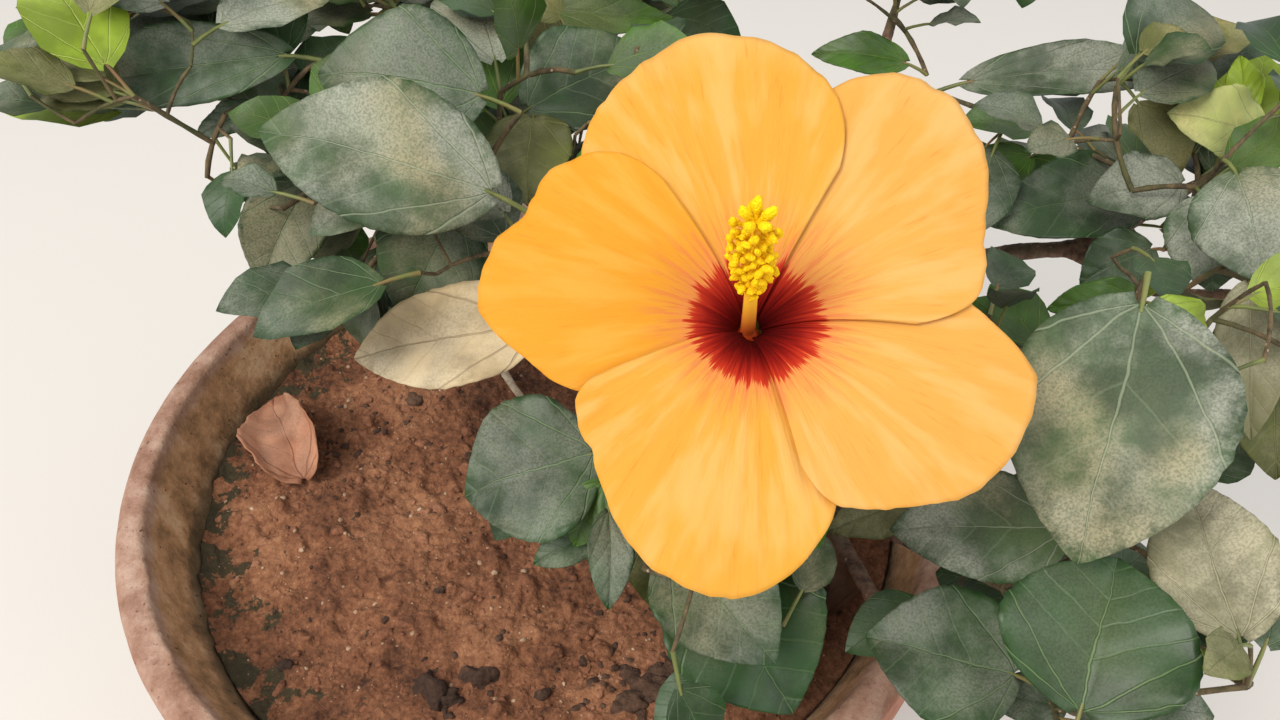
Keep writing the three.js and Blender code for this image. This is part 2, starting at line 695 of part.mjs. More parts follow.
// A twig leaves the handiest clear point of the mass's wood, at a slant or from a free end, and bends up a little.
// One that must be there takes the handiest point of all where none is clear.
function growTwig(wood, end, clear, must) {
  const cost = (at) => {
    const to = end.clone().sub(at.place);
    const turn = at.way.angleTo(to);
    const slant = isFreeEnd(at) || turn > LEAST_SLANT ? 0 : BAD_SLANT_COST;
    return to.length() * (1 + 0.4 * Math.max(0, -Math.cos(turn))) + slant;
  };
  const starts = wood.toSorted((a, b) => cost(a) - cost(b)).slice(0, START_TRIES);
  if (starts[0].place.distanceTo(end) < SHORTEST_TWIG) return starts[0];
  const tries = starts.map((start) => {
    const length = start.place.distanceTo(end);
    const bend = start.place
      .clone()
      .lerp(end, 0.5)
      .addScaledVector(start.way, (isFreeEnd(start) ? 0.18 : 0.05) * length)
      .add(point(0, 0, 0.08 * length));
    const root = Math.max(TWIG_TIP_RADIUS, Math.min(start.radius * 0.9, TWIG_TIP_RADIUS + 0.012 * length));
    const twig = makeTwig(new THREE.QuadraticBezierCurve3(start.place, bend, end), [root, TWIG_TIP_RADIUS]);
    return { start, bend, twig, grown: woodOf(twig) };
  });
  const chosen = tries.find(({ grown, start }) => clear(grown.map(({ place }) => place), start)) ?? (must && tries[0]);
  if (!chosen) return null;
  attach(chosen.start, chosen.bend.clone().sub(chosen.start.place), { twig: chosen.twig });
  wood.push(...chosen.grown);
  return chosen.grown.at(-1);
}

// A leaf of a twig: its stalk leaves at a slant, and the blade hangs a little and faces the sky
function leafAt(root, onward, phase, length, width, last) {
  const side = squareTo(onward);
  const other = onward.clone().cross(side);
  const out = side.multiplyScalar(Math.cos(phase)).addScaledVector(other, Math.sin(phase));
  const stalk = onward.clone().addScaledVector(out, last ? 0.5 : 1.2).normalize();
  const foot = root.clone().addScaledVector(stalk, STALK);
  const way = stalk.clone().addScaledVector(out, 0.4).add(point(0, 0, -0.25));
  way.z *= 0.6;
  const tip = foot.clone().addScaledVector(way.normalize(), length);
  const face = point(0, -0.25, 1).addScaledVector(out, 0.25);
  return makeLeaf(root, foot, tip, width, face);
}

// All the twigs of a mass and then its leaves. Whatever would leave the space or touch something is skipped.
function growMass(name, settings) {
  const space = spaces.find((other) => other.name === name);
  const carrier = curveOf(BOUGHS[name].via);
  const way = carrier.getTangent(1);
  const start = carrier.getPoint(1).addScaledVector(way, CLEAR);
  const radius = BOUGHS[name].radii[1];
  const stem = makeTwig(new THREE.LineCurve3(start, start.clone().addScaledVector(way, STEM)), [radius, radius * 0.9]);
  const wood = woodOf(stem);
  const own = largeLeaves[name];
  const leaves = [...own];
  const others = Object.values(largeLeaves).flat();
  const nearFirst = (a, b) => a.distanceTo(start) - b.distanceTo(start);

  const clearPath = (places, from) =>
    places.every(
      (place, i) =>
        clearOfLimbs(place, LIMB_MARGIN) &&
        own.every((leaf) => !meetsLeaf(leaf, place, LIMB_MARGIN)) &&
        (i === 0 || wood.every((at) => at === from || at.place.distanceTo(place) > LIMB_MARGIN + 3)),
    );
  for (const end of own.map((leaf) => leaf.root).sort(nearFirst)) {
    const leaf = own.find(({ root }) => root === end);
    attach(growTwig(wood, end, clearPath, true), leaf.foot.clone().sub(leaf.root), { leaf });
  }
  for (const end of twigEnds(space, settings).sort(nearFirst)) growTwig(wood, end, clearPath, false);

  const clearOfWood = (leaf, twig) =>
    wood.every((at) => {
      const gap = at.radius + LEAF_MARGIN;
      const ownRoot = at.twig === twig && at.place.distanceTo(leaf.root) < STALK;
      return ownRoot || (!meetsLeaf(leaf, at.place, gap) && leaf.stalk.every((place) => place.distanceTo(at.place) > gap));
    });
  const fits = (leaf, twig) =>
    leaf.places.every((place) => inSpace(place, space, SPACE_MARGIN)) &&
    limbPlaces.every((at) => !meetsLeaf(leaf, at.place, at.radius + LIMB_MARGIN)) &&
    clearOfWood(leaf, twig) &&
    leaves.every((other) => !leavesMeet(leaf, other, LEAF_MARGIN)) &&
    others.every((other) => !hides(leaf, other) && !leavesMeet(leaf, other, LEAF_MARGIN + 1));
  const random = seeded(settings.seed * 31 + 7);
  [...new Set(wood.map(({ twig }) => twig))].forEach((twig, i) => {
    const count = Math.max(1, Math.round(twig.length / LEAF_SPACING));
    for (let k = 0; k <= count; k++) {
      const share = 1 - (k / (count + 1)) * 0.9;
      const root = twig.curve.getPointAt(share);
      const seat = { twig, at: share * twig.length, way: twig.curve.getTangentAt(share) };
      const length = mix(...LEAF_LENGTH, random());
      const width = length * mix(...LEAF_WIDTH, random());
      for (let attempt = 0; attempt < LEAF_TRIES; attempt++) {
        const scale = 1 - 0.06 * attempt;
        const phase = (i + k) * TURN + attempt * TRY_TURN;
        const leaf = leafAt(root, seat.way, phase, length * scale, width * scale, isFreeEnd(seat));
        if (!fits(leaf, twig)) continue;
        leaves.push(leaf);
        attach(seat, leaf.foot.clone().sub(root), { leaf });
        break;
      }
    }
  });
  return stem;
}

// What grows on a twig, moved along it where two would share a place: [from, to, what] in lengths from its root
function seatsOn({ grown, length }, neck) {
  const sorted = grown.toSorted((a, b) => a.at - b.at);
  const [low, high] = [neck + SEAT, length - SEAT];
  const room = Math.min(SEAT + 1, (high - low) / sorted.length);
  const half = Math.min(SEAT, 0.75 * room) / 2;
  const places = [];
  sorted.forEach(({ at }, i) => places.push(Math.max(at, i ? places[i - 1] + room : low)));
  for (let i = places.length - 1; i >= 0; i--) {
    places[i] = Math.min(places[i], i === places.length - 1 ? high : places[i + 1] - room);
  }
  return sorted.map((what, i) => ({ from: places[i] - half, to: places[i] + half, what }));
}

// A mass as one skin. A twig has three sides, and a leaf's stalk or a side twig grows out of one of them.
function massSolid(stem) {
  const points = [];
  const faces = [];
  const keep = (places) => places.map((place) => points.push(place) - 1);
  const middle = (places) => places.reduce((sum, at) => sum.add(at), point(0, 0, 0)).divideScalar(places.length);

  // Joins two rings that run the same way round, evenly, from where their points face each other best
  const join = (a, b) => {
    const spokes = (ids) => {
      const centre = middle(ids.map((id) => points[id]));
      return ids.map((id) => points[id].clone().sub(centre).normalize());
    };
    const [from, to] = [spokes(a), spokes(b)];
    const twist = (turn) => from.reduce((sum, at, k) => sum + at.distanceTo(to[(k + turn) % b.length]), 0);
    const turn = b.map((_, k) => k).reduce((best, k) => (twist(k) < twist(best) ? k : best));
    const turned = b.map((_, k) => b[(k + turn) % b.length]);
    for (let [i, j] = [0, 0]; i < a.length || j < b.length; ) {
      const [p, q] = [a[i % a.length], turned[j % b.length]];
      const [nextP, nextQ] = [a[(i + 1) % a.length], turned[(j + 1) % b.length]];
      const stepA = (i + 1) * b.length <= (j + 1) * a.length;
      faces.push(stepA ? [p, nextP, q] : [p, nextQ, q]);
      if (stepA) i++;
      else j++;
    }
    return turned;
  };
  const closeTo = (ids, tip) => {
    const [last] = keep([tip]);
    ids.forEach((id, k) => faces.push([id, ids[(k + 1) % ids.length], last]));
  };

  const growLeaf = (leaf, base) => {
    let last = base;
    for (const row of leafRings(leaf)) last = join(last, keep(row));
    closeTo(last, leaf.tip);
  };

  const growWood = (twig, base) => {
    const neck = base ? Math.min(NECK, 0.3 * twig.length) : 0;
    const seats = seatsOn(twig, neck);
    const marks = [neck, ...seats.flatMap(({ from, to }) => [from, to]), twig.length];
    const lengths = marks.flatMap((mark, i) => {
      const gap = i ? mark - marks[i - 1] : 0;
      const extra = Math.floor(gap / TWIG_STEP);
      return [...Array.from({ length: extra }, (_, k) => marks[i - 1] + (gap * (k + 1)) / (extra + 1)), mark];
    });
    const shares = lengths.map((length) => Math.min(1, length / twig.length));
    const places = shares.map((share) => twig.curve.getPointAt(share));
    const ways = shares.map((share) => twig.curve.getTangentAt(share));
    const radii = shares.map((share) => mix(...twig.radii, share));
    const zero = base && points[base[0]].clone().sub(middle(base.map((id) => points[id])));
    const rings = ringsAlong(places, radii, 3, ways, zero).map(keep);
    if (base) rings[0] = join(base, rings[0]);
    else faces.push(rings[0].toReversed());
    for (let r = 0; r < rings.length - 1; r++) {
      const [a, b] = [rings[r], rings[r + 1]];
      const seat = seats.find(({ from }) => Math.abs(from - lengths[r]) < 1e-6);
      const goal = seat && (seat.what.leaf ? seat.what.leaf.foot : seat.what.twig.curve.getPointAt(0.3));
      const facing = (k) => {
        const out = middle([a[k], a[(k + 1) % 3]].map((id) => points[id])).sub(places[r]);
        return out.dot(goal.clone().sub(places[r]));
      };
      const side = seat ? [0, 1, 2].reduce((best, k) => (facing(k) > facing(best) ? k : best)) : -1;
      for (let k = 0; k < 3; k++) {
        const next = (k + 1) % 3;
        if (k !== side) faces.push([a[k], a[next], b[next]], [a[k], b[next], b[k]]);
        else if (seat.what.leaf) growLeaf(seat.what.leaf, [a[k], a[next], b[next], b[k]]);
        else {
          faces.push([a[k], b[next], b[k]]);
          growWood(seat.what.twig, [a[k], a[next], b[next]]);
        }
      }
    }
    if (twig.end?.leaf) growLeaf(twig.end.leaf, rings.at(-1));
    else if (twig.end) growWood(twig.end.twig, rings.at(-1));
    else closeTo(rings.at(-1), places.at(-1).clone().addScaledVector(ways.at(-1), BUD));
  };

  growWood(stem, null);
  return solidFrom(points, faces);
}

function buildMasses() {
  for (const [name, settings] of Object.entries(MASSES)) {
    addNode("foliage_" + name, massSolid(growMass(name, settings)), GREEN);
  }
}

// Bloom

// A point of a petal: across 0 to 1 from its leading edge, along 0 to 1 from its root, off its face
function onPetal(outline, across, alongIt, off) {
  const [first, last] = [outline[0][0], outline.at(-1)[0]];
  const degrees = mix(first, last, across);
  const angle = THREE.MathUtils.degToRad(degrees);
  const radius = mix(PETAL_ROOT, along(outline, degrees), alongIt);
  const slope = Math.atan((FUNNEL_DEPTH / FUNNEL_RADIUS) * Math.exp(-radius / FUNNEL_RADIUS));
  const tilt = mix(0.6, 1, Math.min(1, radius / 25)) * PETAL_TILT * (1 - 2 * across);
  const ruffle = PETAL_RUFFLE * (radius / BLOOM_RADIUS) ** 3 * Math.sin(angle * 9 + Math.sin(angle * 4));
  const lift = tilt + ruffle + off;
  const flat = radius - lift * Math.sin(slope);
  return onBloom(
    flat * Math.cos(angle),
    flat * Math.sin(angle),
    funnel(radius) - PETAL_DROOP * (radius / BLOOM_RADIUS) ** 4 + lift * Math.cos(slope),
  );
}

function petalSolid(outline) {
  const rings = [];
  for (let c = 0; c <= PETAL_COLUMNS; c++) {
    const across = c / PETAL_COLUMNS;
    const rows = Array.from({ length: PETAL_ROWS + 1 }, (_, r) => (r / PETAL_ROWS) ** 1.2);
    rings.push([
      ...rows.map((row) => onPetal(outline, across, row, PETAL_THICKNESS / 2)),
      ...rows.toReversed().map((row) => onPetal(outline, across, row, -PETAL_THICKNESS / 2)),
    ]);
  }
  return stripLoft(rings);
}

// A skin over rings that are thin strips: the two ends are closed across the strip, row by row
function stripLoft(rings) {
  const count = rings[0].length;
  const points = rings.flat();
  const faces = [];
  rings.slice(1).forEach((_, r) => {
    for (let k = 0; k < count; k++) {
      const [a, b] = [r * count + k, r * count + ((k + 1) % count)];
      faces.push([a, b, b + count], [a, b + count, a + count]);
    }
  });
  const end = (from, turned) => {
    for (let k = 0; k < count / 2 - 1; k++) {
      const [a, b, c, d] = [from + k, from + k + 1, from + count - 2 - k, from + count - 1 - k];
      faces.push(...(turned ? [[a, c, b], [a, d, c]] : [[a, b, c], [a, c, d]]));
    }
  };
  end(0, true);
  end((rings.length - 1) * count, false);
  return solidFrom(points, faces);
}

// The column leans back up towards its tip
function onColumn(share) {
  return onBloom(COLUMN_LEAN * share, COLUMN_BEND * share * share, mix(-1.6, COLUMN_LENGTH, share));
}

function buildColumn() {
  const shares = [0, 0.12, 0.35, 0.6, 0.85, 1];
  const pieces = [
    loft(ringsAlong(shares.map(onColumn), shares.map((share) => mix(...COLUMN_RADII, share)), 8)),
  ];
  const bead = (centre, size) =>
    solid(new THREE.OctahedronGeometry(size, 0).translate(centre.x, centre.y, centre.z));
  const spoke = (from, to, radius) => loft(ringsAlong([from, to], [radius, radius], 3));
  for (let i = 0; i < ANTHERS; i++) {
    const share = mix(...ANTHER_ZONE, i / (ANTHERS - 1));
    const angle = i * TURN;
    const root = onColumn(share);
    const reach = FILAMENT * (0.85 + 0.25 * Math.sin(i * 2.1));
    const end = root
      .clone()
      .addScaledVector(bloomRight, reach * Math.cos(angle))
      .addScaledVector(bloomUp, reach * Math.sin(angle))
      .addScaledVector(BLOOM_AXIS, 2);
    pieces.push(spoke(root, end, 0.5), bead(end, ANTHER_SIZE));
  }
  for (let i = 0; i < STIGMAS; i++) {
    const angle = (i * 2 * Math.PI) / STIGMAS;
    const root = onColumn(1).addScaledVector(BLOOM_AXIS, -1.5);
    const end = root
      .clone()
      .addScaledVector(bloomRight, 4.2 * Math.cos(angle))
      .addScaledVector(bloomUp, 4.2 * Math.sin(angle))
      .addScaledVector(BLOOM_AXIS, 5.5);
    pieces.push(spoke(root, end, 0.8), bead(end, 2.3));
  }
  addNode("bloom_column", wasm.Manifold.union(pieces), POLLEN);
}

function buildStalkAndCalyx() {
  const stalk = limb(stalkCurve, 0, 1, STALK_RADII, LIMB_SIDES, 6);
  // Cup: outside up, lip, then down inside beneath the petals and across the floor that the column stands on
  const clearance = PETAL_TILT + PETAL_THICKNESS;
  const lipRadius = CALYX_RADIUS + 1.5;
  const profile = [
    [0, -CALYX_LENGTH - 1],
    [3.6, -CALYX_LENGTH],
    [6.4, -CALYX_LENGTH + 6],
    [CALYX_RADIUS, -5],
    [lipRadius + clearance, 3],
    [lipRadius + clearance - 1.2, 3],
    [PETAL_ROOT + 3.2, -2.6],
    [0, -2.6],
  ].map(([radius, height]) => new THREE.Vector2(radius, height));
  const cup = new THREE.LatheGeometry(profile, 15);
  cup.rotateX(Math.PI / 2);
  const frame = new THREE.Matrix4().makeBasis(bloomRight, bloomUp, BLOOM_AXIS).setPosition(throat);
  cup.applyMatrix4(frame);
  addNode("bloom_stalk", wasm.Manifold.union([stalk, solid(cup)]), CALYX_GREEN);
}

function buildBloom() {
  for (const [name, outline] of Object.entries(PETALS)) addNode("petal_" + name, petalSolid(outline), PETAL);
  buildColumn();
  buildStalkAndCalyx();
}

buildPot();
buildSoil();
buildTrunk();
buildBoughs();
buildMasses();
buildBloom();

export default shrub;
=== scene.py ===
# %% [markdown]
# # A hibiscus in a clay pot
# The plant is dressed round a fixed frame of plain solids, which says where the pot, the trunk, the
# boughs, each mass of leaves and the bloom are. Every piece below takes the place of some of those
# solids and stays where they are. Lengths are written in millimetres, as on a drawing, and become
# Blender's metres when a mesh is made.

# %% Load the frame
import json
import math

import bpy
import numpy as np
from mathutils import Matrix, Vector, noise

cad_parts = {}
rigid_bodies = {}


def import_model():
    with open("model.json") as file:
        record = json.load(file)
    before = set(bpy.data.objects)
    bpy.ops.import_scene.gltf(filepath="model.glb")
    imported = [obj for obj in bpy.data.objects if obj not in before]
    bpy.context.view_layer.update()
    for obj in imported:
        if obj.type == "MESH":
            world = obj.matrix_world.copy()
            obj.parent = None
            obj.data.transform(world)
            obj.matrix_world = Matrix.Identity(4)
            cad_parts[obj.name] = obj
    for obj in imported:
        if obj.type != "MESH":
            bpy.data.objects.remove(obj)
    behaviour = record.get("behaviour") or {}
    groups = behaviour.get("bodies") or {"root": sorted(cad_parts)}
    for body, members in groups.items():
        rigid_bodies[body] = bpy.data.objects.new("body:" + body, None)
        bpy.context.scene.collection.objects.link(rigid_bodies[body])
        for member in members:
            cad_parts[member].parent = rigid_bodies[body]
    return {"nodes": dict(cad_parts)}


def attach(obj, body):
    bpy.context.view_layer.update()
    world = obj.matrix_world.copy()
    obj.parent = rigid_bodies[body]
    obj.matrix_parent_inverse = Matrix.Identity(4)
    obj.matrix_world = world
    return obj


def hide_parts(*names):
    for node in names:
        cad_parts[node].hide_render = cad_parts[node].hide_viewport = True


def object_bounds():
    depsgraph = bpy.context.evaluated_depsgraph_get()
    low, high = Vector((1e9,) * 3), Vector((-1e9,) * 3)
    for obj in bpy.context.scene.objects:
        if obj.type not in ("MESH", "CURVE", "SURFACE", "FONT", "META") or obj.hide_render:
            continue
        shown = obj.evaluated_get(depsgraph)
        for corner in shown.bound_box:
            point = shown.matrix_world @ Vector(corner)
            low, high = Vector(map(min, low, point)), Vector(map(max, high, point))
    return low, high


for thing in list(bpy.data.objects):
    bpy.data.objects.remove(thing)
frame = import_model()
frame_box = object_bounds()
MM = 0.001
frame_sides = [round(side / MM) for side in frame_box[1] - frame_box[0]]
print("frame:", len(frame["nodes"]), "nodes,", frame_sides, "mm")

# %% [markdown]
# ## Tools of the bench
# The same few moves come back for every piece, so they are written once: select a piece alone, add a
# modifier and apply it, push a surface in and out with a noise, turn a profile on the wheel, and hand a
# finished piece over.

# %% Select, shape and roughen


def select_only(piece):
    """Leaves nothing selected but this piece, which is then the active one."""
    bpy.ops.object.select_all(action="DESELECT")
    piece.select_set(True)
    bpy.context.view_layer.objects.active = piece


def shape_with(piece, kind, **settings):
    """Adds one modifier, sets it and applies it."""
    select_only(piece)
    modifier = piece.modifiers.new(kind, kind)
    for name, value in settings.items():
        setattr(modifier, name, value)
    bpy.ops.object.modifier_apply(modifier=modifier.name)


def roughen(piece, depth, size):
    """Pushes a surface in and out by a noise, whose bumps have about one size."""
    texture = bpy.data.textures.new("relief", "CLOUDS")
    texture.noise_scale = size * MM
    shape_with(piece, "DISPLACE", texture=texture, strength=depth * MM, texture_coords="LOCAL")
    bpy.data.textures.remove(texture)


# %% Turn a profile on the wheel
WELD = 0.005 * MM


def turn(profile, steps):
    """Draws a line of [radius, height] points, each extruded from the last, and spins it round Z."""
    bpy.ops.object.select_all(action="DESELECT")
    bpy.ops.mesh.primitive_plane_add(size=1)
    bpy.ops.object.mode_set(mode="EDIT")
    bpy.ops.mesh.merge(type="CENTER")
    bpy.ops.transform.translate(value=(profile[0][0] * MM, 0, profile[0][1] * MM))
    for (radius, height), (next_radius, next_height) in zip(profile, profile[1:]):
        move = ((next_radius - radius) * MM, 0, (next_height - height) * MM)
        bpy.ops.mesh.extrude_region_move(TRANSFORM_OT_translate={"value": move})
    bpy.ops.mesh.select_all(action="SELECT")
    bpy.ops.mesh.spin(steps=steps, angle=2 * math.pi, center=(0, 0, 0), axis=(0, 0, 1))
    bpy.ops.mesh.select_all(action="SELECT")
    bpy.ops.mesh.remove_doubles(threshold=WELD)
    bpy.ops.mesh.normals_make_consistent(inside=False)
    bpy.ops.object.mode_set(mode="OBJECT")
    return bpy.context.object


# %% Hand a finished piece over


def keep(piece, name, slot, finishes, *nodes):
    """Names a finished piece, gives it its finishes and puts it in the place of the frame's nodes."""
    piece.name = name
    piece.data.name = name
    for finish in finishes:
        piece.data.materials.append(finish)
    select_only(piece)
    bpy.ops.object.shade_smooth()
    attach(piece, "root")
    if nodes:
        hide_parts(*nodes)
    triangles = sum(len(face.vertices) - 2 for face in piece.data.polygons)
    print(f"{name}: {triangles} triangles")


# %% [markdown]
# A thing that comes back many times, such as a crumb of soil or a leaf, is modelled once. Its points
# and faces are then read off, and one mesh is written that holds all the copies, each bent or turned in
# its own way. That is much lighter than hundreds of objects, and every copy is still real geometry.

# %% Read a pattern off and write its copies


def read_off(piece):
    """A modelled piece as its points, its faces and its UV places by corner. The piece itself goes."""
    points = np.array([vertex.co for vertex in piece.data.vertices])
    faces = np.array([list(face.vertices) for face in piece.data.polygons])
    layer = piece.data.uv_layers.active
    places = np.array([corner.uv for corner in layer.data]) if layer else None
    bpy.data.objects.remove(piece)
    return points, faces, places


def write_copies(points, faces, places=None, tones=None):
    """One mesh from copies of one pattern: points is a row of millimetre points for each copy."""
    count, size = points.shape[:2]
    steps = np.arange(count)[:, None, None] * size
    corners = (faces[None] + steps).reshape(-1, faces.shape[1])
    mesh = bpy.data.meshes.new("copies")
    mesh.from_pydata((points.reshape(-1, 3) * MM).tolist(), [], corners.tolist())
    if places is not None:
        mesh.uv_layers.new(name="UVMap").data.foreach_set("uv", np.tile(places.ravel(), count))
    if tones is not None:
        mesh.polygons.foreach_set("material_index", np.repeat(tones, len(faces)))
    piece = bpy.data.objects.new("copies", mesh)
    bpy.context.scene.collection.objects.link(piece)
    return piece


# %% [markdown]
# ## Tools for finishes
# A finish is a small net of nodes that feeds one shader. Most of what it needs is the same each time: a
# place on the surface, a noise there, a mix of two colours, a line of colours, and a bump. Colours are
# written from 0 to 255 and turned into light.

# %% Nodes of a finish


def paint(red, green, blue):
    """A colour from 0 to 255, as light."""
    shares = [value / 255 for value in (red, green, blue)]
    light = [share / 12.92 if share <= 0.04045 else ((share + 0.055) / 1.055) ** 2.4 for share in shares]
    return light + [1]


class Finish:
    """A material, and the nodes that finishes are made of. Each gives back the socket of its result."""

    def __init__(self, name, roughness, **sockets):
        self.material = bpy.data.materials.new(name)
        self.material.use_nodes = True
        self.tree = self.material.node_tree
        self.shader = self.tree.nodes["Principled BSDF"]
        self.set("Roughness", roughness)
        for socket, value in sockets.items():
            self.set(socket.replace("_", " "), value)

    def set(self, socket, value):
        """Gives one socket of the shader a number, a colour or what another node makes."""
        self.feed(self.shader.inputs[socket], value)

    def feed(self, socket, value):
        """Links what another node makes to a socket, or writes a plain value there."""
        if isinstance(value, bpy.types.NodeSocket):
            self.tree.links.new(value, socket)
        else:
            socket.default_value = value

    def add(self, kind, inputs, output=0, **settings):
        """A node with its inputs fed. Gives back one of its outputs."""
        node = self.tree.nodes.new(kind)
        for name, value in settings.items():
            setattr(node, name, value)
        for socket, value in inputs.items():
            self.feed(node.inputs[socket], value)
        return node.outputs[output]

    def place(self, kind="Object"):
        return self.add("ShaderNodeTexCoord", {}, kind)

    def axis(self, place, which):
        return self.add("ShaderNodeSeparateXYZ", {0: place}, which)

    def off_axis(self, place):
        """How far a place is from the Z axis."""
        flat = self.add("ShaderNodeVectorMath", {0: place, 1: (1, 1, 0)}, operation="MULTIPLY")
        return self.add("ShaderNodeVectorMath", {0: flat}, "Value", operation="LENGTH")

    def maths(self, operation, first, second=0.0, third=0.0):
        inputs = {0: first, 1: second, 2: third}
        return self.add("ShaderNodeMath", inputs, operation=operation)

    def plus(self, first, second):
        return self.maths("ADD", first, second)

    def minus(self, first, second):
        return self.maths("SUBTRACT", first, second)

    def times(self, first, second):
        return self.maths("MULTIPLY", first, second)

    def scaled(self, value, factor, offset):
        """The value times the factor, plus the offset."""
        return self.maths("MULTIPLY_ADD", value, factor, offset)

    def noise(self, place, scale, detail=4, roughness=0.6):
        inputs = {"Vector": place, "Scale": scale, "Detail": detail, "Roughness": roughness}
        return self.add("ShaderNodeTexNoise", inputs)

    def cells(self, place, scale):
        """How far each place is from the middle of its cell."""
        return self.add("ShaderNodeTexVoronoi", {"Vector": place, "Scale": scale})

    def rise(self, value, low, high):
        """0 below low and 1 above high, or the other way round where low is the greater."""
        inputs = {0: value, 1: low, 2: high}
        return self.add("ShaderNodeMapRange", inputs, interpolation_type="SMOOTHSTEP")

    def mix(self, share, first, second, blend="MIX"):
        """The first colour, and the second one laid over it by its share."""
        inputs = {0: share, 6: first, 7: second}
        return self.add("ShaderNodeMix", inputs, 2, data_type="RGBA", blend_type=blend)

    def line(self, value, *stops):
        """Colours along a line: each stop is (place, colour)."""
        node = self.tree.nodes.new("ShaderNodeValToRGB")
        self.feed(node.inputs[0], value)
        for _ in stops[2:]:
            node.color_ramp.elements.new(0.5)
        for element, (at, colour) in zip(node.color_ramp.elements, stops):
            element.position = at
            element.color = colour
        return node.outputs[0]

    def bump(self, height, depth, under=None):
        """A relief of a depth in millimetres, over another one if there is one under it."""
        inputs = {"Strength": 1.0, "Distance": depth * MM, "Height": height}
        if under:
            inputs["Normal"] = under
        return self.add("ShaderNodeBump", inputs)


# %% [markdown]
# ## The pot
# A clay pot is thrown on a wheel: a wall that widens upwards, a thick collar and a rounded rim, with a
# drain hole in the floor. A profile that is turned makes exactly that, so one line is drawn round the
# wall and spun. Years of watering leave pale salts on the crest and a damp, greenish band inside, just
# above the soil. The crest is painted paler still, which is partly a painted highlight on the top of the
# rim.

# %% Profile of the pot
POT_HEIGHT = 290
RIM_RADIUS = 175
CREST_RADIUS = 167
FOOT_RADIUS = 108
HOLE_RADIUS = 12
FLOOR = 14
SOIL_DROP = 32
SOIL_HEIGHT = POT_HEIGHT - SOIL_DROP
SOIL_EDGE = 151
POT_STEPS = 224
# Places of the profile, as (radius, height)
HOLE_LIP = (HOLE_RADIUS, 0.6)
COLLAR_FOOT = (163, 248)
COLLAR_UNDERSIDE = [(165, 250.6), (169.5, 251.6)]
LIP_FOOT = (158, 275)
SOIL_LINE = (SOIL_EDGE, SOIL_HEIGHT)
WALL_BEND = (147, 222)
FLOOR_EDGE = (96, FLOOR)


def arc(radius, height, size, start, end, steps):
    """Points on a bend of the profile, from one angle to the other, in degrees."""
    angles = [math.radians(start + (end - start) * step / steps) for step in range(steps + 1)]
    return [(radius + size * math.cos(angle), height + size * math.sin(angle)) for angle in angles]


def stretch(start, end, steps):
    """Points between two places of the profile, without its ends."""
    (x, z), (end_x, end_z) = start, end
    shares = [step / steps for step in range(1, steps)]
    return [(x + (end_x - x) * share, z + (end_z - z) * share) for share in shares]


rim_outside = arc(RIM_RADIUS - 6, POT_HEIGHT - 6.5, 6, -10, 80, 6)
rim_inside = arc(CREST_RADIUS - 1.5, POT_HEIGHT - 3, 3, 90, 170, 4)
profile = [HOLE_LIP, (HOLE_RADIUS + 2, 0)]
profile += stretch((HOLE_RADIUS + 2, 0), (FOOT_RADIUS - 4, 0), 6)
profile += arc(FOOT_RADIUS - 4, 4, 4, -90, -10, 4)
profile += stretch((FOOT_RADIUS, 4), COLLAR_FOOT, 26)
profile += [COLLAR_FOOT, *COLLAR_UNDERSIDE]
profile += arc(RIM_RADIUS - 5, 257, 4.6, -80, 0, 4)
profile += stretch((RIM_RADIUS - 0.4, 257), rim_outside[0], 4)
profile += rim_outside
profile += stretch(rim_outside[-1], rim_inside[0], 3)
profile += rim_inside
profile += stretch(rim_inside[-1], LIP_FOOT, 3) + [LIP_FOOT]
profile += stretch(LIP_FOOT, SOIL_LINE, 4) + [SOIL_LINE, WALL_BEND]
profile += stretch(WALL_BEND, FLOOR_EDGE, 8) + [FLOOR_EDGE]
profile += stretch(FLOOR_EDGE, (HOLE_RADIUS, FLOOR), 4)
profile += [(HOLE_RADIUS, FLOOR), HOLE_LIP]
pot = turn(profile, POT_STEPS)
print("pot profile:", len(profile), "points")

# %% [markdown]
# The wheel leaves faint rings in the clay, and use knocks small chips off the rim. The rings depend on
# height alone and wander a little, and the chips are the deepest spots of a noise, taken only where the
# rim bends.

# %% Throwing rings and chips
THROW_DEPTH = 0.35
CHIP_DEPTH = 2.2
CHIP_SIZE = 16
CHIP_LIMIT = 0.38
CHIP_ZONE = 10
RING_WANDER = 5
for vertex in pot.data.vertices:
    x, y, z = vertex.co / MM
    radius = math.hypot(x, y)
    thrown = z + RING_WANDER * noise.noise(Vector((x, y, z * 3)) / 90)
    ring = worn = 0
    if radius > max(FOOT_RADIUS, 95 + z * 0.2) and 6 < z < POT_HEIGHT - 12:
        ring = THROW_DEPTH * (math.sin(thrown * 0.9) + 0.6 * math.sin(thrown * 2.3))
    if z > POT_HEIGHT - CHIP_ZONE:
        chips = noise.noise(Vector((x, y, z)) / CHIP_SIZE + Vector((3, 7, 1)))
        worn = max(0, chips - CHIP_LIMIT)
    move = (ring - CHIP_DEPTH * 2 * worn) / max(radius, 1)
    vertex.co.x += x * move * MM
    vertex.co.y += y * move * MM
    vertex.co.z -= CHIP_DEPTH * worn * MM
roughen(pot, 0.5, 9)
for vertex in pot.data.vertices:
    vertex.co.z = max(0, vertex.co.z)
print("pot is", round(max(vertex.co.z for vertex in pot.data.vertices) / MM, 1), "mm high")
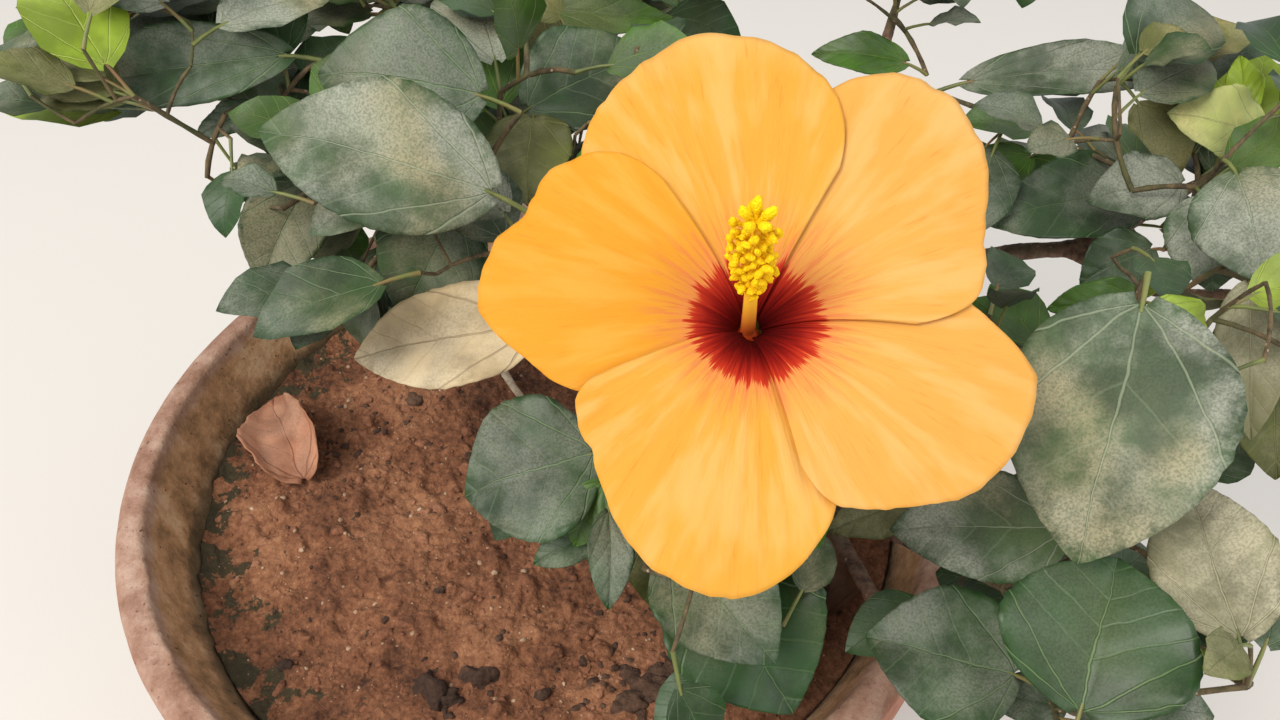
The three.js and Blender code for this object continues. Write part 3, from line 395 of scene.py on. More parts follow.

# %% [markdown]
# Clay is warm and matte. Three noises of different size break up its colour, and masks made from the
# distance to the middle and from the height say where the salts, the pale crest with its painted
# highlight and the damp band lie.

# %% Finish of the clay
CLAY_TONES = [(0.3, paint(142, 78, 52)), (0.5, paint(172, 101, 70)), (0.7, paint(190, 124, 92))]
# Pale tones of the crest: chalky salts, and a painted highlight on the top of the rim
CHALK_AND_HIGHLIGHT_TONES = [(0.34, paint(126, 90, 70)), (0.48, paint(155, 119, 99)), (0.64, paint(184, 153, 134))]
DAMP_TONES = [(0.34, paint(130, 98, 64)), (0.5, paint(184, 140, 98)), (0.62, paint(208, 170, 130))]
SALT = paint(206, 168, 150)
WET = paint(52, 50, 30)
PORES = paint(120, 84, 66)


def clay_finish():
    clay = Finish("weathered_clay", 0.85)
    place = clay.place()
    radius, height = clay.off_axis(place), clay.axis(place, 2)
    blotches = clay.noise(place, 16, 5)
    grain = clay.noise(place, 420, 3)
    streaks = clay.noise(place, 60, 6, 0.7)
    colour = clay.line(blotches, *CLAY_TONES)
    salts = clay.rise(clay.plus(clay.times(streaks, 0.6), clay.times(height, 1.6)), 0.6, 0.88)
    colour = clay.mix(clay.times(salts, 0.55), colour, SALT)
    uneven = clay.plus(height, clay.times(clay.minus(streaks, 0.5), 0.012))
    crest = clay.rise(uneven, 0.2815, 0.2875)
    mid_wall = clay.scaled(height, 0.19, 0.1098)
    inside = clay.rise(clay.minus(radius, mid_wall), 0.002, -0.001)
    inside = clay.times(inside, clay.rise(height, 0.2, 0.22))
    wet = clay.rise(uneven, 0.269, 0.259)
    damp = clay.mix(clay.times(wet, 0.75), clay.line(streaks, *DAMP_TONES), WET)
    colour = clay.mix(inside, colour, damp)
    # The crest is painted pale all round: chalky salts, and a painted highlight on the top of the rim.
    colour = clay.mix(clay.times(crest, 0.9), colour, clay.line(streaks, *CHALK_AND_HIGHLIGHT_TONES))
    clay.set("Base Color", clay.mix(clay.rise(grain, 0.62, 0.75), colour, PORES, "MULTIPLY"))
    clay.set("Normal", clay.bump(grain, 0.5, clay.bump(streaks, 1.2)))
    return clay.material


keep(pot, "clay_pot", "clay", [clay_finish()], "pot")

# %% [markdown]
# ## The soil
# Potting soil that has been watered and dried many times is crumbly: low lumps, a crust broken into
# crumbs, and loose clods and grit on top. The surface is turned like the pot, from a line with many
# points, so that it has enough of them to be pushed up and down by noises of three sizes. The clods and
# the grit are scattered copies.

# %% Surface of the soil
SOIL_GAP = 0.5
SOIL_LUMP = 3
SOIL_MIDDLE = 2.5
SOIL_RINGS = 142
SOIL_STEPS = 560
TRUNK_FOOT = (25, 10)
# The soil lies flat as far as this from the trunk's foot, and its lumps fade in over the width after that
FLAT_REACH = 26
FLAT_FADE = 24
CRUST_DEPTH = 2.3
CRUMB_DEPTH = 1.2
CLOD_DEPTH = 6
DEEPEST_DIP = -4
# How high the soil is banked up against the wall, and how wide
BANK = 1.2
BANK_WIDTH = 3

outer = SOIL_EDGE - SOIL_GAP
bottom = FLOOR + SOIL_GAP
surface = [(0, SOIL_HEIGHT), (SOIL_MIDDLE, SOIL_HEIGHT)]
surface += stretch((SOIL_MIDDLE, SOIL_HEIGHT), (outer, SOIL_HEIGHT), SOIL_RINGS)
surface += [(outer, SOIL_HEIGHT), (outer, SOIL_HEIGHT - 3), (WALL_BEND[0] - SOIL_GAP, WALL_BEND[1])]
surface += [(FLOOR_EDGE[0] - SOIL_GAP, bottom), (HOLE_RADIUS, bottom), (0, bottom)]
soil = turn(surface, SOIL_STEPS)


def soil_lump(x, y):
    """The same low lumps as in the frame's soil, in millimetres."""
    wide = math.sin(x / 19 + 1) * math.cos(y / 23)
    return SOIL_LUMP * (0.6 * wide + 0.4 * math.sin((x + 2 * y) / 31))


def soil_height(x, y):
    """How far the soil's surface lies above its level: lumps, broken crust and crumbs."""
    place = Vector((x, y, 0))
    crust = noise.fractal(place / 26, 0.9, 2.1, 5)
    crumbs = noise.noise(place / 2.6 + Vector((5, 2, 8)))
    crumbs += 0.8 * noise.noise(place / 4.7 + Vector((1, 6, 3)))
    clods = max(0, noise.noise(place / 8 + Vector((9, 4, 1))) - 0.1)
    from_trunk = math.hypot(x - TRUNK_FOOT[0], y - TRUNK_FOOT[1])
    lumps = min(1, max(0, (from_trunk - FLAT_REACH) / FLAT_FADE)) * soil_lump(x, y)
    return lumps + CRUST_DEPTH * crust + CRUMB_DEPTH * crumbs + CLOD_DEPTH * clods


for vertex in soil.data.vertices:
    x, y, z = vertex.co / MM
    if z > SOIL_HEIGHT - 1:
        open_share = min(1, (SOIL_EDGE - math.hypot(x, y)) / BANK_WIDTH)
        vertex.co.z += max(DEEPEST_DIP, soil_height(x, y) + BANK * (1 - open_share)) * MM
print("soil:", len(soil.data.polygons), "faces")

# %% [markdown]
# Three patterns, a large clod, a small one and a grain of grit, are made from the roundest primitive
# that has few faces, and dented. Each copy is turned at random, stretched a little and partly sunk in
# the surface.

# %% Clods and grit
random_soil = np.random.default_rng(5)
# The dents of a ball, as (how close they are, how deep)
DENTS = [(1.4, 1), (3.1, 0.5), (7, 0.3)]
CLOD_FLATNESS = 0.75
DROP_HEIGHT = 400
STREWN_RADIUS = SOIL_EDGE - 6
CLEAR_OF_TRUNK = 24


def dented_ball(level, dents):
    """The pattern of a ball about one unit in radius, dented by three noises."""
    bpy.ops.object.select_all(action="DESELECT")
    bpy.ops.mesh.primitive_ico_sphere_add(subdivisions=level, radius=1)
    ball = bpy.context.object
    for vertex in ball.data.vertices:
        bumps = sum(depth * noise.noise(vertex.co * pitch) for pitch, depth in DENTS)
        vertex.co *= 1 + dents * bumps
    return read_off(ball)


def turned(count, random):
    """Random turns, as rotation matrices."""
    spins = random.normal(size=(count, 4))
    w, x, y, z = (spins / np.linalg.norm(spins, axis=1)[:, None]).T
    rows = [
        [1 - 2 * (y * y + z * z), 2 * (x * y - w * z), 2 * (x * z + w * y)],
        [2 * (x * y + w * z), 1 - 2 * (x * x + z * z), 2 * (y * z - w * x)],
        [2 * (x * z - w * y), 2 * (y * z + w * x), 1 - 2 * (x * x + y * y)],
    ]
    return np.array(rows).transpose(2, 0, 1)


def strew(pattern, places, sizes, tones, sink):
    """Copies of a pattern, turned at random, laid on the soil and sunk by a share of their size."""
    shapes = pattern[0][None] * random_soil.uniform(0.6, 1.2, (len(sizes), 1, 3)) * sizes[:, None, None]
    shapes = np.einsum("nij,npj->npi", turned(len(sizes), random_soil), shapes)
    shapes[:, :, 2] *= CLOD_FLATNESS
    heights = []
    for x, y in places:
        _, hit, _, _ = soil.ray_cast(Vector((x, y, DROP_HEIGHT)) * MM, Vector((0, 0, -1)))
        heights.append(hit.z / MM)
    centres = np.column_stack([places, np.array(heights) - sizes * sink])
    return write_copies(shapes + centres[:, None, :], pattern[1], tones=tones)


def scattered(count):
    """Places spread over the soil, off the foot of the trunk."""
    radii = STREWN_RADIUS * np.sqrt(random_soil.uniform(0, 1, count * 2))
    angles = random_soil.uniform(0, 2 * math.pi, count * 2)
    places = np.column_stack([radii * np.cos(angles), radii * np.sin(angles)])
    clear = np.hypot(*(places - TRUNK_FOOT).T) > CLEAR_OF_TRUNK
    return places[clear][:count]


# Larger clods that stand out, as (x, y, size), and heaps of crumbly bits, as (middle, spread, count)
DARK_CLODS = np.array([
    (-40, -98, 8), (-21, -94, 7), (44, -100, 8), (36, -106, 6),
    (-33, -102, 5), (-36, 13, 5), (52, -92, 5),
])
HEAPS = [((34, -88), 14, 60), ((-76, 42), 20, 46), ((-30, -99), 12, 18), ((-100, 20), 12, 16)]
CLODS = 330
GRIT = 4800
HEAP_EDGE = 143
CLOD_SINK = 0.25
GRIT_SINK = 0.1
# Shares of dry crumbs, damp ones and grains of sand
OPEN_SHARES = [0.86, 0.14]
HEAP_SHARES = [0.4, 0.6]
GRIT_SHARES = [0.72, 0.14, 0.14]
grain, clod, crusty_clod = dented_ball(1, 0.3), dented_ball(2, 0.55), dented_ball(3, 0.6)

heaped = np.vstack([random_soil.normal(middle, spread, (count, 2)) for middle, spread, count in HEAPS])
heaped *= np.minimum(1, HEAP_EDGE / np.hypot(*heaped.T))[:, None]
places = np.vstack([scattered(CLODS), heaped])
sizes = 1.4 + 2.6 * random_soil.uniform(0, 1, len(places)) ** 3
open_tones = random_soil.choice(2, CLODS, p=OPEN_SHARES)
tones = np.append(open_tones, random_soil.choice(2, len(heaped), p=HEAP_SHARES))
clods = strew(clod, places, sizes, tones, CLOD_SINK)
dark_clods = strew(crusty_clod, DARK_CLODS[:, :2], DARK_CLODS[:, 2], None, CLOD_SINK)
places = scattered(GRIT)
sizes = 0.35 + 1.1 * random_soil.uniform(0, 1, len(places)) ** 3
tones = random_soil.choice(3, GRIT, p=GRIT_SHARES)
grit = strew(grain, places, sizes, tones, GRIT_SINK)
print("clods and grit:", len(clods.data.polygons) + len(grit.data.polygons), "faces")

# %% [markdown]
# Dry soil is light and reddish, with darker, damp patches, pale specks of sand, and green algae where
# the wall keeps it moist. The algae's mask joins the distance to the middle and a noise, and it is
# strongest on the side away from the bloom.

# %% Finish of the soil
SAND_SPECK = paint(190, 152, 114)
DARK_ALGAE = paint(32, 30, 17)
LIGHT_ALGAE = paint(78, 71, 45)


def soil_finish(name, dark, middle, light, sandy=0.0, algae=False):
    earth = Finish(name, 0.95)
    place = earth.place()
    patches = earth.noise(place, 24, 5, 0.65)
    fine = earth.noise(place, 330, 5, 0.75)
    specks = earth.cells(place, 520)
    both = earth.plus(earth.times(patches, 0.55), earth.times(fine, 0.45))
    colour = earth.line(both, (0.38, dark), (0.5, middle), (0.63, light))
    pale = earth.times(earth.rise(specks, 0.17, 0.08), earth.rise(patches, 0.44, 0.6))
    colour = earth.mix(earth.times(pale, sandy), colour, SAND_SPECK)
    if algae:
        side = earth.rise(earth.axis(place, 0), 0.06, -0.1)
        spots = earth.minus(earth.noise(place, 58, 5, 0.7), 0.5)
        reach = earth.plus(earth.off_axis(place), earth.times(spots, 0.2))
        moist = earth.times(earth.rise(reach, 0.141, 0.149), earth.scaled(side, 0.8, 0.15))
        colour = earth.mix(moist, colour, earth.mix(fine, DARK_ALGAE, LIGHT_ALGAE))
    earth.set("Base Color", colour)
    earth.set("Normal", earth.bump(fine, 1.1, earth.bump(specks, 0.5)))
    return earth.material


dry_soil = soil_finish("dry_soil", paint(72, 43, 27), paint(130, 83, 55), paint(172, 121, 86), 0.8, True)
crumb = soil_finish("crumb", paint(92, 54, 36), paint(142, 92, 64), paint(178, 126, 94), 0.4)
damp_clod = soil_finish("damp_clod", paint(50, 34, 24), paint(76, 53, 39), paint(114, 84, 64))
sand = soil_finish("sand_grain", paint(150, 118, 90), paint(184, 150, 120), paint(214, 188, 158))
keep(soil, "soil_surface", "soil", [dry_soil], "soil")
keep(clods, "soil_clods", "soil", [crumb, damp_clod])
keep(dark_clods, "dark_clods", "soil", [damp_clod])
keep(grit, "soil_grit", "soil", [crumb, damp_clod, sand])

# %% [markdown]
# ## Lines that limbs follow
# Trunk, boughs, twigs and stalks all follow curved lines. A line here is any rule that gives a point
# for a share between 0 and 1. Walking it by length, and not by share, keeps leaves evenly spaced, so
# each line measures itself in 200 steps and looks the share up.

# %% Lines
LINE_STEPS = 200
UP = np.array([0.0, 0.0, 1.0])


def unit(vector):
    """The same direction, one long."""
    return vector / np.linalg.norm(vector)


def above(points):
    """Points whose height counts from the rim, as points whose height counts from the floor."""
    return np.array(points, float) + UP * POT_HEIGHT


class Line:
    """A curved line in millimetres, which can be walked by length."""

    def __init__(self, rule):
        self.rule = rule
        self.shares = np.linspace(0, 1, LINE_STEPS + 1)
        steps = np.diff(rule(self.shares), axis=0)
        self.lengths = np.append(0, np.cumsum(np.linalg.norm(steps, axis=1)))
        self.length = self.lengths[-1]

    def at(self, share):
        """The point at a share of the line."""
        return self.rule(np.atleast_1d(share))[0]

    def toward(self, share):
        """The direction at a share of the line."""
        ends = np.clip([share - 1e-4, share + 1e-4], 0, 1)
        return unit(np.subtract(*self.rule(ends)[::-1]))

    def share_of(self, part):
        """The share of the line where this part of its length has been walked."""
        return float(np.interp(part * self.length, self.lengths, self.shares))

    def walk(self, part):
        """The point after this part of the length."""
        return self.at(self.share_of(part))

    def facing(self, part):
        """The direction after this part of the length."""
        return self.toward(self.share_of(part))


def smooth_line(points):
    """A line through all the points, without corners."""
    knots = np.vstack([2 * points[0] - points[1], points, 2 * points[-1] - points[-2]])
    last = len(points) - 1

    def rule(shares):
        first = np.minimum((shares * last).astype(int), last - 1)
        part = (shares * last - first)[:, None]
        before, start, end, after = (knots[first + step] for step in range(4))
        leave, arrive = (end - before) / 2, (after - start) / 2
        square = 3 * (end - start) - 2 * leave - arrive
        cube = 2 * (start - end) + leave + arrive
        return start + part * (leave + part * (square + part * cube))

    return Line(rule)


def bent_line(*points):
    """A line from the first point to the last that is drawn towards those between."""
    order = len(points) - 1

    def rule(shares):
        part = shares[:, None]
        weights = [math.comb(order, i) * part**i * (1 - part) ** (order - i) for i in range(order + 1)]
        return sum(weight * point for weight, point in zip(weights, points))

    return Line(rule)


# %% [markdown]
# ## Trunk and boughs
# The shrub stands on one short trunk, which flares into the soil and forks into boughs. Wood grows in
# one skin: a fork has no seam. So all the limbs are drawn as round tubes along their lines, joined, and
# remeshed into one skin, and the bark's ridges are then pushed out of that.

# %% Routes of the boughs
TRUNK_TOP = (28, 18, 12)
TRUNK_RADII = (13, 9)
# Each bough: its thickness, root and tip, and the points it passes, as (x, y, height above the rim)
BOUGHS = {
    "front": ((4.2, 2.4), [(26, 12, -12), (34, -14, 6), (42, -42, 26)]),
    "southeast": ((4.6, 2.6), [(26, 13, -5), (74, -16, 8), (124, -58, 20), (147, -86, 34)]),
    "east": ((4.8, 2.6), [(27, 15, 4), (86, 6, 26), (148, -8, 52), (180, -26, 76)]),
    "northeast": ((6, 3.2), [(27, 15, -8), (92, 50, 8), (190, 71, 38), (236, 68, 50), (262, 66, 75)]),
    "back_right": ((4.8, 2.6), [(28, 17, 1), (84, 58, 30), (140, 116, 66), (157, 160, 104)]),
    "centre": ((5.6, 2.6), [(28, 18, 10), (14, 42, 48), (2, 58, 82)]),
    "west": ((4.8, 2.6), [(27, 17, 2), (-4, 22, 40), (-26, 14, 76)]),
    "bloom": ((3.6, 2.4), [(62, 12, 14), (70, 4, 38), (66, -4, 56)]),
    "south": ((3.4, 2.4), [(108, -44, 16), (128, -112, 20), (134, -150, 26)]),
    "far_east": ((3.4, 2.4), [(228, 69, 48), (260, 42, 46), (294, 18, 64)]),
    "back": ((3.8, 2.4), [(15.4, 39.8, 44.2), (40, 86, 66), (24, 134, 106)]),
    "northwest": ((3.6, 2.4), [(9.6, 48.6, 61.5), (-18, 92, 78), (-62, 142, 112)]),
    "far_west": ((3.8, 2.4), [(6, 21, 29), (-46, 52, 48), (-108, 84, 84)]),
}
bough_lines = {name: smooth_line(above(via)) for name, (_, via) in BOUGHS.items()}
print("boughs:", {name: round(line.length) for name, line in bough_lines.items()})

# %% Tubes along lines


def tubes(runs, sides):
    """Round tubes with closed ends, as one mesh: each run is its points and its radii, in millimetres."""
    drawing = bpy.data.curves.new("tubes", "CURVE")
    drawing.dimensions = "3D"
    drawing.bevel_depth = MM
    drawing.bevel_resolution = sides
    drawing.use_fill_caps = True
    for points, radii in runs:
        spline = drawing.splines.new("POLY")
        spline.points.add(len(points) - 1)
        spline.points.foreach_set("co", np.column_stack([points * MM, np.ones(len(points))]).ravel())
        spline.points.foreach_set("radius", radii)
    piece = bpy.data.objects.new("tubes", drawing)
    bpy.context.scene.collection.objects.link(piece)
    select_only(piece)
    bpy.ops.object.convert(target="MESH")
    return bpy.context.object


def walked(line, parts):
    """The points of a line after these parts of its length."""
    return np.array([line.walk(part) for part in parts])


def tube_run(line, radii, step, end=1.0):
    """The points of one tube along a line, a few millimetres apart, and their radii."""
    parts = np.linspace(0, end, max(3, math.ceil(line.length * end / step) + 1))
    return walked(line, parts), np.interp(parts, [0, 1], radii)


# %% Trunk and boughs in one skin
FORK_SWELL = 0.2
FORK_LENGTH = 9
FLARE = 6
SKIN_VOXEL = 0.95
# The roots that show, as (angle, reach, thickness)
ROOTS = [(0.3, 27, 4.2), (1.9, 22, 3.4), (3.3, 26, 4.0), (4.6, 20, 3.2), (5.6, 24, 3.0)]
trunk_foot = np.array([*TRUNK_FOOT, SOIL_HEIGHT - 3.0])
trunk_top = above(TRUNK_TOP)
trunk_line = bent_line(trunk_foot, trunk_foot + UP * 22, trunk_top)
parts = np.linspace(0, 1, 14)
flared = np.interp(parts, [0, 1], TRUNK_RADII) + FLARE * np.exp(-parts * 7)
runs = [(walked(trunk_line, parts), flared)]
for angle, reach, size in ROOTS:
    out = np.array([math.cos(angle), math.sin(angle), 0])
    knee = trunk_foot + out * reach * 0.6 + UP * 4
    root = bent_line(trunk_foot + UP * 11 + out * 5, knee, trunk_foot + out * reach)
    runs.append(tube_run(root, (size + 1.4, size * 0.5), 3))
for name, (radii, _) in BOUGHS.items():
    line = bough_lines[name]
    points, sizes = tube_run(line, radii, 4)
    swell = 1 + FORK_SWELL * np.exp(-np.linspace(0, line.length, len(points)) / FORK_LENGTH)
    runs.append((points, sizes * swell))
wood = tubes(runs, 4)
shape_with(wood, "REMESH", mode="VOXEL", voxel_size=SKIN_VOXEL * MM, use_smooth_shade=True)
shape_with(wood, "SMOOTH", factor=0.5, iterations=6)
print("wood:", len(wood.data.polygons), "faces")

# %% [markdown]
# Hibiscus bark is thin and greyish brown. It has fine ridges along the limb and small raised pores, and
# on young wood it is almost smooth. Two noises push the skin out: one for the knobs where old stalks
# were, and one for grain.

# %% Bark
PORE = paint(168, 140, 116)
roughen(wood, 1.1, 6)
roughen(wood, 0.5, 1.6)


def bark_finish(name, dark, light, moss):
    bark = Finish(name, 0.85)
    place = bark.place()
    stretched = bark.add("ShaderNodeMapping", {"Vector": place, "Scale": (1, 1, 0.35)})
    ridges = bark.noise(stretched, 240, 5, 0.7)
    patches = bark.noise(place, 36, 4)
    pores = bark.cells(place, 260)
    colour = bark.line(ridges, (0.35, dark), (0.62, light))
    colour = bark.mix(bark.times(bark.rise(patches, 0.5, 0.66), 0.6), colour, moss)
    colour = bark.mix(bark.rise(pores, 0.16, 0.08), colour, PORE)
    bark.set("Base Color", colour)
    bark.set("Normal", bark.bump(ridges, 0.8, bark.bump(pores, 0.3)))
    return bark.material


old_bark = bark_finish("old_bark", paint(70, 50, 40), paint(134, 104, 84), paint(112, 102, 80))
keep(wood, "trunk_and_boughs", "bark", [old_bark], "trunk", *[f"bough_{name}" for name in BOUGHS])

# %% [markdown]
# ## Where the leaves may grow
# Each mass of leaves has its own space round the end of its bough: within reach of its middle, on its
# own side of every neighbour, off the pot and off the bloom. The growing rule below tries places and
# keeps only what fits, which is how light and touch thin out a real crown. All the random numbers come
# from a seed, so it grows the same shrub each time.

# %% Masses of leaves
# Each mass: its middle, its reach each way, its seed, how many twigs it tries, and its large leaves,
# as the blade's foot, its tip, its width and its tone
MASSES = {
    "front": ((42, -92, 42), (80, 66, 46), 11, 8, [
        ((24, -57, 57), (-21, -66, 45), 52, "deep"),
        ((28, -68, 55), (18, -82, 37), 16, "fresh"),
        ((26, -74, 36), (3, -83, 28), 15, "deep"),
        ((30, -80, 54), (30, -106, 36), 15, "deep"),
        ((51, -96, 56), (81, -132, 49), 39, "deep"),
        ((65, -89, 38), (89, -134, 20), 54, "clean"),
        ((134, -72, 50), (103, -84, 49), 18, "olive"),
    ]),
    "southeast": ((172, -112, 46), (78, 66, 54), 23, 7, [
        ((176, -92, 62), (123, -86, 53), 36, "dusty"),
        ((166, -149, 54), (184, -110, 72), 54, "clean"),
        ((160, -125, 29), (114, -113, 32), 45, "deep"),
        ((217, -129, 60), (212, -84, 77), 36, "pale"),
        ((224, -121, 42), (214, -82, 50), 14, "dusty"),
        ((180, -127, 12), (154, -124, 14), 18, "deep"),
    ]),
    "east": ((216, -34, 84), (70, 74, 74), 37, 8, [
        ((186, -64, 132), (166, -118, 81), 60, "dusty"),
        ((194, -56, 124), (217, -55, 111), 14, "young"),
        ((251, -18, 100), (245, -62, 70), 22, "pale"),
        ((262, -14, 86), (259, -66, 54), 40, "olive"),
        ((226, -8, 68), (205, -12, 56), 18, "olive"),
        ((232, 6, 72), (198, 8, 66), 18, "fresh"),
    ]),
    "northeast": ((246, 66, 96), (84, 78, 66), 41, 8, [
        ((242, 30, 78), (216, 24, 65), 26, "deep"),
        ((250, 14, 124), (256, -20, 102), 40, "dusty"),
        ((253, 30, 102), (254, 2, 80), 32, "dusty"),
        ((254, 48, 96), (217, 44, 91), 28, "dusty"),
        ((252, 70, 76), (184, 55, 72), 38, "deep"),
        ((190, 131, 94), (280, 111, 109), 24, "dusty"),
        ((280, 54, 114), (244, 60, 121), 28, "light"),
        ((276, 62, 116), (277, 84, 132), 13, "young"),
    ]),
    "far_east": ((322, 2, 84), (64, 84, 70), 53, 12, []),
    "south": ((140, -196, 26), (78, 60, 46), 61, 13, []),
    "back_right": ((184, 188, 162), (84, 78, 62), 71, 12, [
        ((159, 130, 104), (118, 138, 104), 18, "fresh"),
    ]),
    "back": ((22, 172, 132), (80, 78, 70), 83, 12, [
        ((-20, 150, 119), (56, 148, 115), 22, "fresh"),
    ]),
    "centre": ((8, 72, 124), (70, 64, 64), 97, 9, [
        ((-3, 65, 120), (42, 88, 131), 42, "deep"),
        ((-1, 59, 119), (-1, 22, 105), 33, "olive"),
    ]),
    "west": ((-52, 12, 108), (78, 66, 62), 103, 8, [
        ((-10, -2, 128), (-86, 8, 146), 50, "dusty"),
        ((-16, 35, 143), (-72, 37, 150), 48, "deep"),
        ((-28, 20, 104), (-46, -11, 78), 40, "deep"),
        ((-84, 32, 108), (-99, 0, 84), 31, "deep"),
        ((2, -16, 80), (-63, -24, 71), 38, "dead"),
    ]),
    "far_west": ((-148, 88, 112), (84, 80, 64), 113, 12, [
        ((-100, 84, 132), (-190, 77, 118), 32, "deep"),
        ((-116, 82, 110), (-141, 74, 102), 13, "deep"),
    ]),
    "northwest": ((-94, 192, 146), (90, 80, 70), 127, 13, []),
}
TONES = ["deep", "clean", "dusty", "olive", "fresh", "young", "pale", "light", "dead"]
SPACES = {name: (above(centre), np.array(reach, float)) for name, (centre, reach, *_) in MASSES.items()}
VIEW_SIDE = above((40, -280, 326))
# Ground at the soil's height, in front of and to the left of each place, that stays bare to the eye
BARE_GROUND = [(40, -60), (-3, -38), (-42, 46), (-226, 292)]
print("masses:", len(MASSES), "large leaves:", sum(len(mass[4]) for mass in MASSES.values()))

# %% [markdown]
# The bloom has its own frame: right across it, up it and out of it. Its throat is a funnel, which is
# what the leaves and the stalk have to keep clear of.

# %% Frame of the bloom
THROAT = above((72, -67, 123))
BLOOM_OUT = unit(np.array([0, -0.485, 0.875]))
BLOOM_RIGHT = np.array([1.0, 0, 0])
BLOOM_UP = np.cross(BLOOM_OUT, BLOOM_RIGHT)
BLOOM_RADIUS = 88
FUNNEL_DEPTH = 30
FUNNEL_RADIUS = 14
CALYX_RADIUS = 9
CALYX_LENGTH = 24
# How far out of a bough's end the next limb starts
ONWARD = 0.3


def funnel(radius):
    """How far the face of the bloom rises from the throat at a radius."""
    return FUNNEL_DEPTH * (1 - np.exp(-radius / FUNNEL_RADIUS))


def on_bloom(right, up, out):
    """Points of the bloom's own frame, in the shrub's frame."""
    right, up, out = np.broadcast_arrays(right, up, out)
    return THROAT + right[..., None] * BLOOM_RIGHT + up[..., None] * BLOOM_UP + out[..., None] * BLOOM_OUT


def sideways(turn_to):
    """The direction across the bloom at one turn round its axis."""
    return BLOOM_RIGHT * math.cos(turn_to) + BLOOM_UP * math.sin(turn_to)


bloom_carrier = bough_lines["bloom"]
bloom_way = bloom_carrier.toward(1)
stalk_start = bloom_carrier.at(1) + bloom_way * ONWARD
stalk_end = on_bloom(0, 0, -CALYX_LENGTH)
stalk_line = bent_line(stalk_start, stalk_start + bloom_way * 14, stalk_end - BLOOM_OUT * 18, stalk_end)
print("bloom's stalk:", round(stalk_line.length), "mm")

# %% Places that are taken
WOOD_STEP = 7
STALK_RADIUS = 3
STALK_STEPS = 10
CALYX_STEPS = 4
limb_places = []
limb_radii = []
for name, (radii, _) in BOUGHS.items():
    count = math.ceil(bough_lines[name].length / WOOD_STEP)
    for step in range(count + 1):
        limb_places.append(bough_lines[name].at(step / count))
        limb_radii.append(radii[0] + (radii[1] - radii[0]) * step / count)
for step in range(STALK_STEPS + 1):
    limb_places.append(stalk_line.at(step / STALK_STEPS))
    limb_radii.append(STALK_RADIUS)
for step in range(CALYX_STEPS + 1):
    out = -CALYX_LENGTH + (CALYX_LENGTH + 8) * step / CALYX_STEPS
    limb_places.append(on_bloom(0, 0, out))
    limb_radii.append(CALYX_RADIUS + 4)
limb_places = np.array(limb_places)
limb_radii = np.array(limb_radii)


def clear_of_pot(places):
    """Above the soil inside the rim, above the crest, or outside the pot."""
    radius = np.hypot(places[:, 0], places[:, 1])
    height = places[:, 2] - POT_HEIGHT
    least = np.where(radius > CREST_RADIUS - 20, 6, 12 - SOIL_DROP)
    return height > np.where(radius > RIM_RADIUS + 8, -50, least)


def clear_of_bloom(places):
    """Clear of the petals, and not in front of the bloom as the shrub is looked at."""
    away = places - THROAT
    out = away @ BLOOM_OUT
    radius = np.sqrt(np.maximum(0, (away**2).sum(1) - out**2))
    touches = (radius < BLOOM_RADIUS + 4) & (out > funnel(radius) - 10)
    face = on_bloom(0, 0, FUNNEL_DEPTH * 0.7)
    sight = places - VIEW_SIDE
    reach = (face - VIEW_SIDE) @ BLOOM_OUT / (sight @ BLOOM_OUT)
    crossing = VIEW_SIDE + sight * reach[:, None]
    hides = (reach >= 1) & (np.linalg.norm(crossing - face, axis=1) <= BLOOM_RADIUS + 4)
    return ~(touches | hides)


def clear_of_bare_ground(places):
    """Not in front of the bare ground as the shrub is looked at."""
    sight = places - VIEW_SIDE
    down = np.minimum(sight[:, 2], -1e-6)
    ground = VIEW_SIDE + sight * ((SOIL_HEIGHT - VIEW_SIDE[2]) / down)[:, None]
    hides = np.zeros(len(places), bool)
    for x, y in BARE_GROUND:
        hides |= (ground[:, 0] <= x) & (ground[:, 1] <= y)
    return ~hides | (sight[:, 2] >= 0)


def in_space(places, name, margin):
    """Whether each place lies in the space of one mass."""
    centre, reach = SPACES[name]
    away = places - centre
    inside = ((away / reach) ** 2).sum(1) <= 1
    for other, (middle, _) in SPACES.items():
        if other != name:
            width = np.linalg.norm(middle - centre)
            inside &= away @ (middle - centre) / width <= width / 2 - margin
    return inside & clear_of_pot(places) & clear_of_bloom(places) & clear_of_bare_ground(places)


# %% [markdown]
# ## A leaf
# A hibiscus leaf is a broad oval with a slender stalk. Its midrib arches and its halves rise from it
# like a shallow V. The growing rule needs only that: a foot, a tip, a width and the way it faces, and a
# test whether a point comes too near. The blade itself is drawn later, over the same form.

# %% Form of a leaf
STALK = 14
LEAF_ARCH = 0.08
LEAF_FOLD = 0.2
SMALL_ROWS = np.array([[0, 0.04], [0.24, 0.45], [0.64, 0.45], [1, 0.02]])
LARGE_ROWS = np.array([[0, 0.04], [0.18, 0.4], [0.5, 0.5], [0.82, 0.32], [1, 0.02]])


